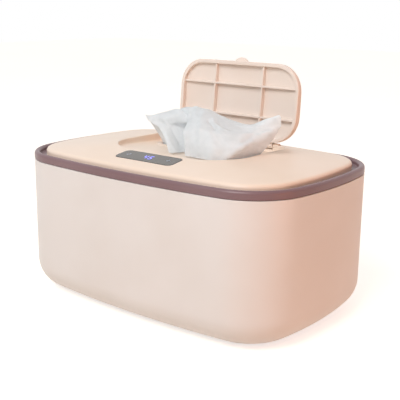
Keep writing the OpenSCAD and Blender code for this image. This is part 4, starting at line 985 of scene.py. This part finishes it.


# %% [markdown]
# ## The pulled wipe
#
# The next wipe stands half out of the slot, as it does after the one before it was pulled. It
# rises from the slot to a slack crest, and its front falls forwards and doubles back once in a
# fold. Rows of a few points, given as shares of the dish and of its height, set this drape. A
# smooth curve through them in both directions makes the sheet, small creases run down from the
# crest, and the cloth is then given its thickness. The part in the slot is a piece of its own,
# because it stays where it is when the flip lid presses the rest down.

# %% Pulled wipe
WIPE_H, WIPE_T, COLLAR_T = 32.0, 0.8, 1.4
WIPE_Y = SLOT_Y - SLOT_W / 2 + COLLAR_T + 1.6
drape = np.array([
    [[0, 81, 0], [3, 77, 0], [5, 66, 0], [4, 54, 0], [6, 44, 0], [12, 46, 0], [26, 80, 0], [37, 83, 0],
     [52, 85, 0], [71, 84, 0], [85, 72, 0], [90, 42, 0], [91, 8, 0]],
    [[-19, 64, 24], [-14, 62, 24], [-11, 51, 22], [-10, 36, 20], [-3, 27, 21], [4, 28, 23], [21, 76, 30],
     [34, 78, 30], [52, 80, 29], [74, 81, 28], [94, 68, 30], [102, 41, 31], [107, 8, 34]],
    [[-43, 45, 44], [-35, 44, 45], [-30, 37, 46], [-22, 27, 48], [-11, 23, 50], [-1, 25, 53], [15, 70, 51],
     [28, 67, 55], [45, 68, 57], [66, 66, 57], [88, 49, 55], [105, 27, 56], [117, 4, 60]],
    [[-58, 37, 50], [-46, 37, 54], [-35, 35, 58], [-23, 33, 62], [-12, 34, 64], [0, 40, 65], [11, 54, 65],
     [26, 56, 66], [43, 55, 67], [63, 50, 64], [86, 36, 60], [106, 20, 63], [120, 3, 70]],
    [[-74, 28, 54], [-57, 32, 62], [-40, 33, 71], [-24, 31, 79], [-12, 29, 84], [-1, 33, 84], [9, 38, 81],
     [22, 42, 79], [40, 42, 76], [60, 36, 70], [84, 26, 66], [106, 14, 70], [122, 2, 80]],
    [[-87, 20, 65], [-76, 18, 67], [-62, 14, 74], [-46, 10, 82], [-30, 8, 90], [-18, 6, 95], [-6, 5, 97],
     [12, 5, 92], [32, 5, 84], [54, 8, 76], [82, 10, 72], [104, 8, 88], [119, 4, 98]]], float) / 100
row_y = WIPE_Y + (DISH_FRONT - WIPE_Y) * drape[..., 1]
front_rows = np.stack([DISH_L / 2 * drape[..., 0], row_y, floor_at(row_y) + 0.6 + WIPE_T + WIPE_H * drape[..., 2]], -1)
n_pts = front_rows.shape[1]
mouth_half = SLOT_L * 0.43


def mouth_row(z):
    return np.column_stack([np.linspace(-mouth_half, mouth_half, n_pts), np.full(n_pts, WIPE_Y), np.full(n_pts, z)])


mouth = mouth_row(floor_at(WIPE_Y) + 1)
rear = (front_rows[-1] + mouth) / 2 + [0, 1, 0]
rows3 = np.concatenate([front_rows, rear[None], mouth[None], mouth_row(RING_Z - 1.8 - 2)[None]])


def spline(p, t):
    """Smooth curve through the points p along axis 0: each span is the Catmull-Rom cubic."""
    n = len(p) - 1
    i = np.minimum((t * n).astype(int), n - 1)
    f = (t * n - i).reshape(-1, *[1] * (p.ndim - 1))
    a, b, c, d = p[np.maximum(i - 1, 0)], p[i], p[i + 1], p[np.minimum(i + 2, n)]
    return (2 * b + (c - a) * f + (2 * a - 5 * b + 4 * c - d) * f ** 2 + (3 * b - a - 3 * c + d) * f ** 3) / 2


us, vs = np.linspace(0, 1, 201), np.linspace(0, 1, 161)
columns = spline(rows3.swapaxes(0, 1), us)
sheet = spline(columns.swapaxes(0, 1), vs)


# Each crease: where it starts and ends on the sheet (across, up), its half width and height in mm.
CREASES = [(0.66, 0.48, 0.73, 0.32, 1.5, -0.9), (0.67, 0.53, 0.77, 0.33, 1.6, 0.9),
           (0.81, 0.02, 0.86, 0.13, 2.4, 1.5), (0.86, 0.13, 0.90, 0.17, 2.0, 1.0),
           (0.58, 0.56, 0.65, 0.25, 3.0, 0.9), (0.65, 0.25, 0.66, 0.06, 2.6, 0.8),
           (0.73, 0.28, 0.79, 0.10, 2.8, -1.0), (0.92, 0.42, 0.87, 0.18, 2.4, -0.9),
           (0.80, 0.55, 0.90, 0.53, 1.8, 0.7), (0.12, 0.53, 0.16, 0.24, 2.6, 0.8),
           (0.17, 0.24, 0.21, 0.10, 2.2, -0.8), (0.30, 0.60, 0.38, 0.46, 2.4, -0.7)]
SHEET_L, SHEET_W = 110.0, 97.0


def crease_field(u, v):
    """Height in mm: each crease is a bell curve across its line; slow and quick sines ripple the rest."""
    flat = np.stack([u * SHEET_L, v * SHEET_W], -1)
    lean = u * 9 + v * 2.2
    height = np.sin(lean * 2.1 + 1.3 * np.sin(v * 5)) * 0.3
    height += np.sin(lean * 5.7 + 0.8 * np.sin(u * 11 + v * 3)) * 0.2
    height += np.sin(u * 61 + v * 17 + 2 * np.sin(v * 9)) * 0.08
    for u0, v0, u1, v1, wide, high in CREASES:
        start, run = np.array([u0 * SHEET_L, v0 * SHEET_W]), np.array([(u1 - u0) * SHEET_L, (v1 - v0) * SHEET_W])
        t = np.clip((flat - start) @ run / (run @ run), 0, 1)
        away = np.linalg.norm(flat - start - t[..., None] * run, axis=-1)
        height += high * np.exp(-(away / wide) ** 2)
    return height * np.clip((0.87 - v) / 0.2, 0, 1)


du, dv = np.gradient(sheet, axis=1), np.gradient(sheet, axis=0)
facing = np.cross(du, dv)
facing /= np.linalg.norm(facing, axis=2, keepdims=True)
grid_u, grid_v = np.meshgrid(us, vs)
sheet = sheet + facing * crease_field(grid_u, grid_v)[..., None]


def cloth(name, part):
    """Cloth object from a grid of points: quads between neighbours, then 0.45 mm of thickness."""
    m, n = part.shape[:2]
    i, j = np.arange(m - 1)[:, None], np.arange(n - 1)[None, :]
    quads = np.stack([i * n + j, i * n + j + 1, (i + 1) * n + j + 1, (i + 1) * n + j], -1).reshape(-1, 4)
    obj = build(name, (part.reshape(-1, 3), quads.tolist()), crease=180)
    thick = obj.modifiers.new("cloth thickness", "SOLIDIFY")
    thick.thickness, thick.offset = 0.45 * MM, 0.0
    return dress(obj, "pulled_wipe")


mouth_at = 140
wipe = cloth("pulled_wipe_cloth", sheet[:mouth_at + 1])
wipe_foot = cloth("pulled_wipe_in_slot", sheet[mouth_at:])

# %% [markdown]
# ## The stack of wipes in the tank
#
# Folded wipes lie on each other as a soft block with a crowned top. Its sides show the edges
# of the layers. A rounded rectangle drawn in and out a little as it climbs makes them.

# %% Wipe stack
STACK_L, STACK_W, STACK_R, STACK_H, STACK_Z = 200.0, 96.0, 14.0, 42.0, 28.4
layers = 28
climb = np.linspace(0, 1, layers * 6 + 1)
inset = 0.5 - 0.45 * np.abs(np.sin(climb * layers * math.pi)) + 2.5 * np.clip((np.abs(climb - 0.5) - 0.46) / 0.04, 0, 1) ** 2
rings = [np.column_stack([rounded(STACK_L - 2 * e, STACK_W - 2 * e, STACK_R - e), np.full(RIM_N, STACK_Z + STACK_H * t)])
         for e, t in zip(inset, climb)]
top_ring = rounded(STACK_L - 6, STACK_W - 6, STACK_R - 3)
for s in np.linspace(1, 0.04, 14)[1:]:
    flat = top_ring * s
    sag = -1.4 * (1 - s * s) + 0.25 * np.sin(flat[:, 0] / 9) * np.cos(flat[:, 1] / 7)
    rings.append(np.column_stack([flat, STACK_Z + STACK_H + sag - 0.1]))
stack = build("wipe_stack_layers", solid(rings), crease=60)
dress(stack, "wipe_stack")


# %% [markdown]
# ## Ribbon cable
#
# A flat flexible cable joins the base to the panel through the hinge notch. It is a thin strip
# carried along a bent path, and it bends on when the cover opens.

# %% Ribbon cable
low, high = NOTCH_Z + 0.8 + ribbon_t / 2, RING_FLOOR + 0.1 + ribbon_t / 2
bend_r, turn_y = 0.8, NOTCH_Y + 1.3
path = [(HALF_W - flange_in - 0.2, low)]
path += [(turn_y - bend_r + bend_r * math.sin(a), low + bend_r - bend_r * math.cos(a)) for a in arc_steps(6)]
path += [(turn_y, z) for z in np.linspace(low + bend_r, high - bend_r, 14)[1:-1]]
path += [(turn_y - bend_r + bend_r * math.cos(a), high - bend_r + bend_r * math.sin(a)) for a in arc_steps(6)]
path += [(y, high) for y in np.linspace(turn_y - bend_r, HALF_W - RING_IN - 1, 10)[1:]]
path = np.array(path)
ahead = np.gradient(path, axis=0)
side = np.stack([-ahead[:, 1], ahead[:, 0]], 1) / np.linalg.norm(ahead, axis=1)[:, None] * ribbon_t / 2
stations = []
for x, up in ((-1, -1), (-1, 1), (1, 1), (1, -1)):
    yz = path + side * up
    stations.append(np.column_stack([np.full(len(path), ribbon_x + x * ribbon_half), yz]))
ribbon = build("ribbon_strip", solid(np.stack(stations, 1)))
ribbon.data.materials.append(flex_pet)
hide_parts("hinge_ribbon")
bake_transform(ribbon)
print("ribbon of", len(path), "stations")

# %% [markdown]
# ## Collar of the slot
#
# A soft silicone collar lines the slot and grips the wipe. Its lip lies on the dish's floor.

# %% Slot collar
lip, lip_h = 2.6, 0.7
throat_low = floor_at(SLOT_Y + SLOT_W / 2 + 1.6) - 1.8 - 0.5 - 2


def collar_ring(grow, up=None, z=None):
    flat = slot_plan(grow)
    height = np.full(RIM_N, z) if z is not None else floor_at(flat[:, 1]) + up
    return np.column_stack([flat, height])


collar_rings = [collar_ring(lip, 0.0), collar_ring(lip, lip_h - 0.35), collar_ring(lip - 0.12, lip_h - 0.12),
                collar_ring(lip - 0.35, lip_h), collar_ring(-COLLAR_T + 0.35, lip_h),
                collar_ring(-COLLAR_T + 0.1, lip_h - 0.1), collar_ring(-COLLAR_T, lip_h - 0.35),
                collar_ring(-COLLAR_T, z=throat_low), collar_ring(-0.1, z=throat_low), collar_ring(-0.1, 0.0)]
collar = build("silicone_collar", solid(collar_rings, loop=True))
dress(collar, "slot_collar")


# %% [markdown]
# ## The remaining parts
#
# Everything else keeps its engineering shape. A copy of each mesh is merged, because the packed
# mesh is loose triangles with a fixed normal each. The copy drops those normals, so that its
# shading follows the merged faces, smooth with crisp edges, and it gets its real finish.

# %% Remaining parts
def smooth_copy(node, crease=32):
    """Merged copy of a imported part, smooth but for edges turned more than crease degrees."""
    bm = bmesh.new()
    bm.from_mesh(nodes[node].data)
    bmesh.ops.remove_doubles(bm, verts=bm.verts, dist=1e-6)
    mesh = bpy.data.meshes.new(node + "_smooth")
    bm.to_mesh(mesh)
    bm.free()
    fixed = mesh.attributes.get("custom_normal")
    if fixed is not None:
        mesh.attributes.remove(fixed)
    obj = bpy.data.objects.new(node + "_smooth", mesh)
    bpy.context.scene.collection.objects.link(obj)
    soften(obj, crease)
    return obj


done = {"outer_shell", "trim_ring", "top_cover", "flip_lid", "panel_window", "display_digits", "pulled_wipe",
        "wipe_stack", "hinge_ribbon", "slot_collar"}
for node in nodes:
    if node not in done:
        dress(smooth_copy(node), node)

# %% [markdown]
# ## Floor, light and camera
#
# A pale floor and a white surround stand in for the studio. The surround is white to the eye
# but lights the object only gently; a large soft lamp above and in front gives the forms their
# shade, and the floor keeps a soft shadow. The camera stands where the photograph's did.

# %% World and floor
scene = bpy.context.scene
scene.view_settings.view_transform = "Standard"
world = bpy.data.worlds.new("studio")
scene.world = world
world.use_nodes = True
tree = world.node_tree
tree.nodes.clear()
seen = add(tree, "ShaderNodeLightPath")
shown = add(tree, "ShaderNodeMath", links={0: seen.outputs["Is Camera Ray"], 1: seen.outputs["Is Glossy Ray"]},
            operation="MAXIMUM")
shown = add(tree, "ShaderNodeMath", links={0: shown.outputs[0], 1: seen.outputs["Is Transmission Ray"]},
            operation="MAXIMUM")
AMBIENT = 0.49
way = add(tree, "ShaderNodeSeparateXYZ", links={"Vector": add(tree, "ShaderNodeTexCoord").outputs["Generated"]})
from_right = add(tree, "ShaderNodeMapRange", {"From Min": 0.2, "From Max": 0.7}, {"Value": way.outputs["X"]},
                 interpolation_type="SMOOTHSTEP")
near_floor = add(tree, "ShaderNodeMapRange", {"From Min": 0.8, "From Max": 0.3}, {"Value": way.outputs["Z"]},
                 interpolation_type="SMOOTHSTEP")
warm_part = add(tree, "ShaderNodeMath", links={0: from_right.outputs["Result"], 1: near_floor.outputs["Result"]},
                operation="MULTIPLY")
room = add(tree, "ShaderNodeMix", {6: (1, 1, 1, 1), 7: linear("#FF9A42")}, {0: warm_part.outputs[0]},
           data_type="RGBA")
colour = add(tree, "ShaderNodeMix", {7: (1, 1, 1, 1)}, {0: shown.outputs[0], 6: room.outputs[2]}, data_type="RGBA")
power = add(tree, "ShaderNodeMapRange", {"To Min": AMBIENT, "To Max": 1.0}, {"Value": shown.outputs[0]})
sky = add(tree, "ShaderNodeBackground", links={"Color": colour.outputs[2], "Strength": power.outputs["Result"]})
add(tree, "ShaderNodeOutputWorld", links={"Surface": sky.outputs["Background"]})

floor_mesh = bpy.data.meshes.new("studio_floor")
half_floor = 3.0
floor_mesh.from_pydata([(-half_floor, -half_floor, 0), (half_floor, -half_floor, 0),
                        (half_floor, half_floor, 0), (-half_floor, half_floor, 0)], [], [(0, 1, 2, 3)])
floor = bpy.data.objects.new("studio_floor", floor_mesh)
scene.collection.objects.link(floor)
floor_mat, tree, shader = finish_of("studio_paper", "#E6DBCE", 0.95, ior=1.3)
tint(tree, shader, place(tree), "#E7DCCF", "#E5DACC", 300)
seen = add(tree, "ShaderNodeLightPath")
shown = add(tree, "ShaderNodeMath", links={0: seen.outputs["Is Camera Ray"], 1: seen.outputs["Is Glossy Ray"]},
            operation="MAXIMUM")
shown = add(tree, "ShaderNodeMath", links={0: shown.outputs[0], 1: seen.outputs["Is Transmission Ray"]},
            operation="MAXIMUM")
PAPER_GLOW = 0.66
power = add(tree, "ShaderNodeMath", {1: PAPER_GLOW}, {0: shown.outputs[0]}, operation="MULTIPLY")
glow = add(tree, "ShaderNodeEmission", {"Color": (1, 1, 1, 1)}, {"Strength": power.outputs[0]})
both = add(tree, "ShaderNodeAddShader", links={0: shader.outputs["BSDF"], 1: glow.outputs["Emission"]})
tree.links.new(both.outputs["Shader"], tree.nodes["Material Output"].inputs["Surface"])
floor_mesh.materials.append(floor_mat)
print("floor and surround ready")


# %% Lamps
def soft_lamp(name, place_mm, aim_mm, size, watts, colour="#FFFFFF"):
    """Square area lamp that looks from its place to its aim."""
    lamp = bpy.data.lights.new(name, "AREA")
    lamp.size, lamp.energy, lamp.color = size, watts, linear(colour)[:3]
    obj = bpy.data.objects.new(name, lamp)
    at, aim = Vector(place_mm) * MM, Vector(aim_mm) * MM
    obj.location = at
    obj.rotation_euler = (aim - at).to_track_quat("-Z", "Y").to_euler()
    scene.collection.objects.link(obj)
    return obj


soft_lamp("key_lamp", (100, -950, 1080), (0, 0, 80), 0.7, 11.5)
soft_lamp("warm_side_lamp", (1100, -20, 60), (120, 0, 50), 0.6, 3.3, "#FF9240")
print("lamps ready")

# %% Camera
AZ, EL, ROLL = math.radians(38.33), math.radians(14.25), math.radians(0.67)
DISTANCE, TARGET, FOCAL_PX, FRAME_PX = 588.7, np.array([5.92, 0.0, 74.57]), 785.05, 400
back = np.array([math.sin(AZ) * math.cos(EL), -math.cos(AZ) * math.cos(EL), math.sin(EL)])
right = np.cross(-back, [0, 0, 1])
right /= np.linalg.norm(right)
up = np.cross(right, -back)
right_r = math.cos(ROLL) * right + math.sin(ROLL) * up
up_r = -math.sin(ROLL) * right + math.cos(ROLL) * up
lens = bpy.data.cameras.new("photo_camera")
lens.sensor_width, lens.sensor_fit = 36.0, "HORIZONTAL"
lens.lens = FOCAL_PX / FRAME_PX * lens.sensor_width
lens.clip_start = 0.01
camera = bpy.data.objects.new("photo_camera", lens)
camera.matrix_world = Matrix([[*row, loc] for row, loc in zip(np.stack([right_r, up_r, back], 1).tolist(),
                                                               ((TARGET + back * DISTANCE) * MM).tolist())]
                             + [[0, 0, 0, 1]])
scene.collection.objects.link(camera)
scene.camera = camera
print("lens", round(lens.lens, 2), "mm")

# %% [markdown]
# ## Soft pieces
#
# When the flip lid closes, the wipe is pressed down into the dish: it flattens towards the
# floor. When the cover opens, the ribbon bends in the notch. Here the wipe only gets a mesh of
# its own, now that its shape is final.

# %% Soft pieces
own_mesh(wipe)
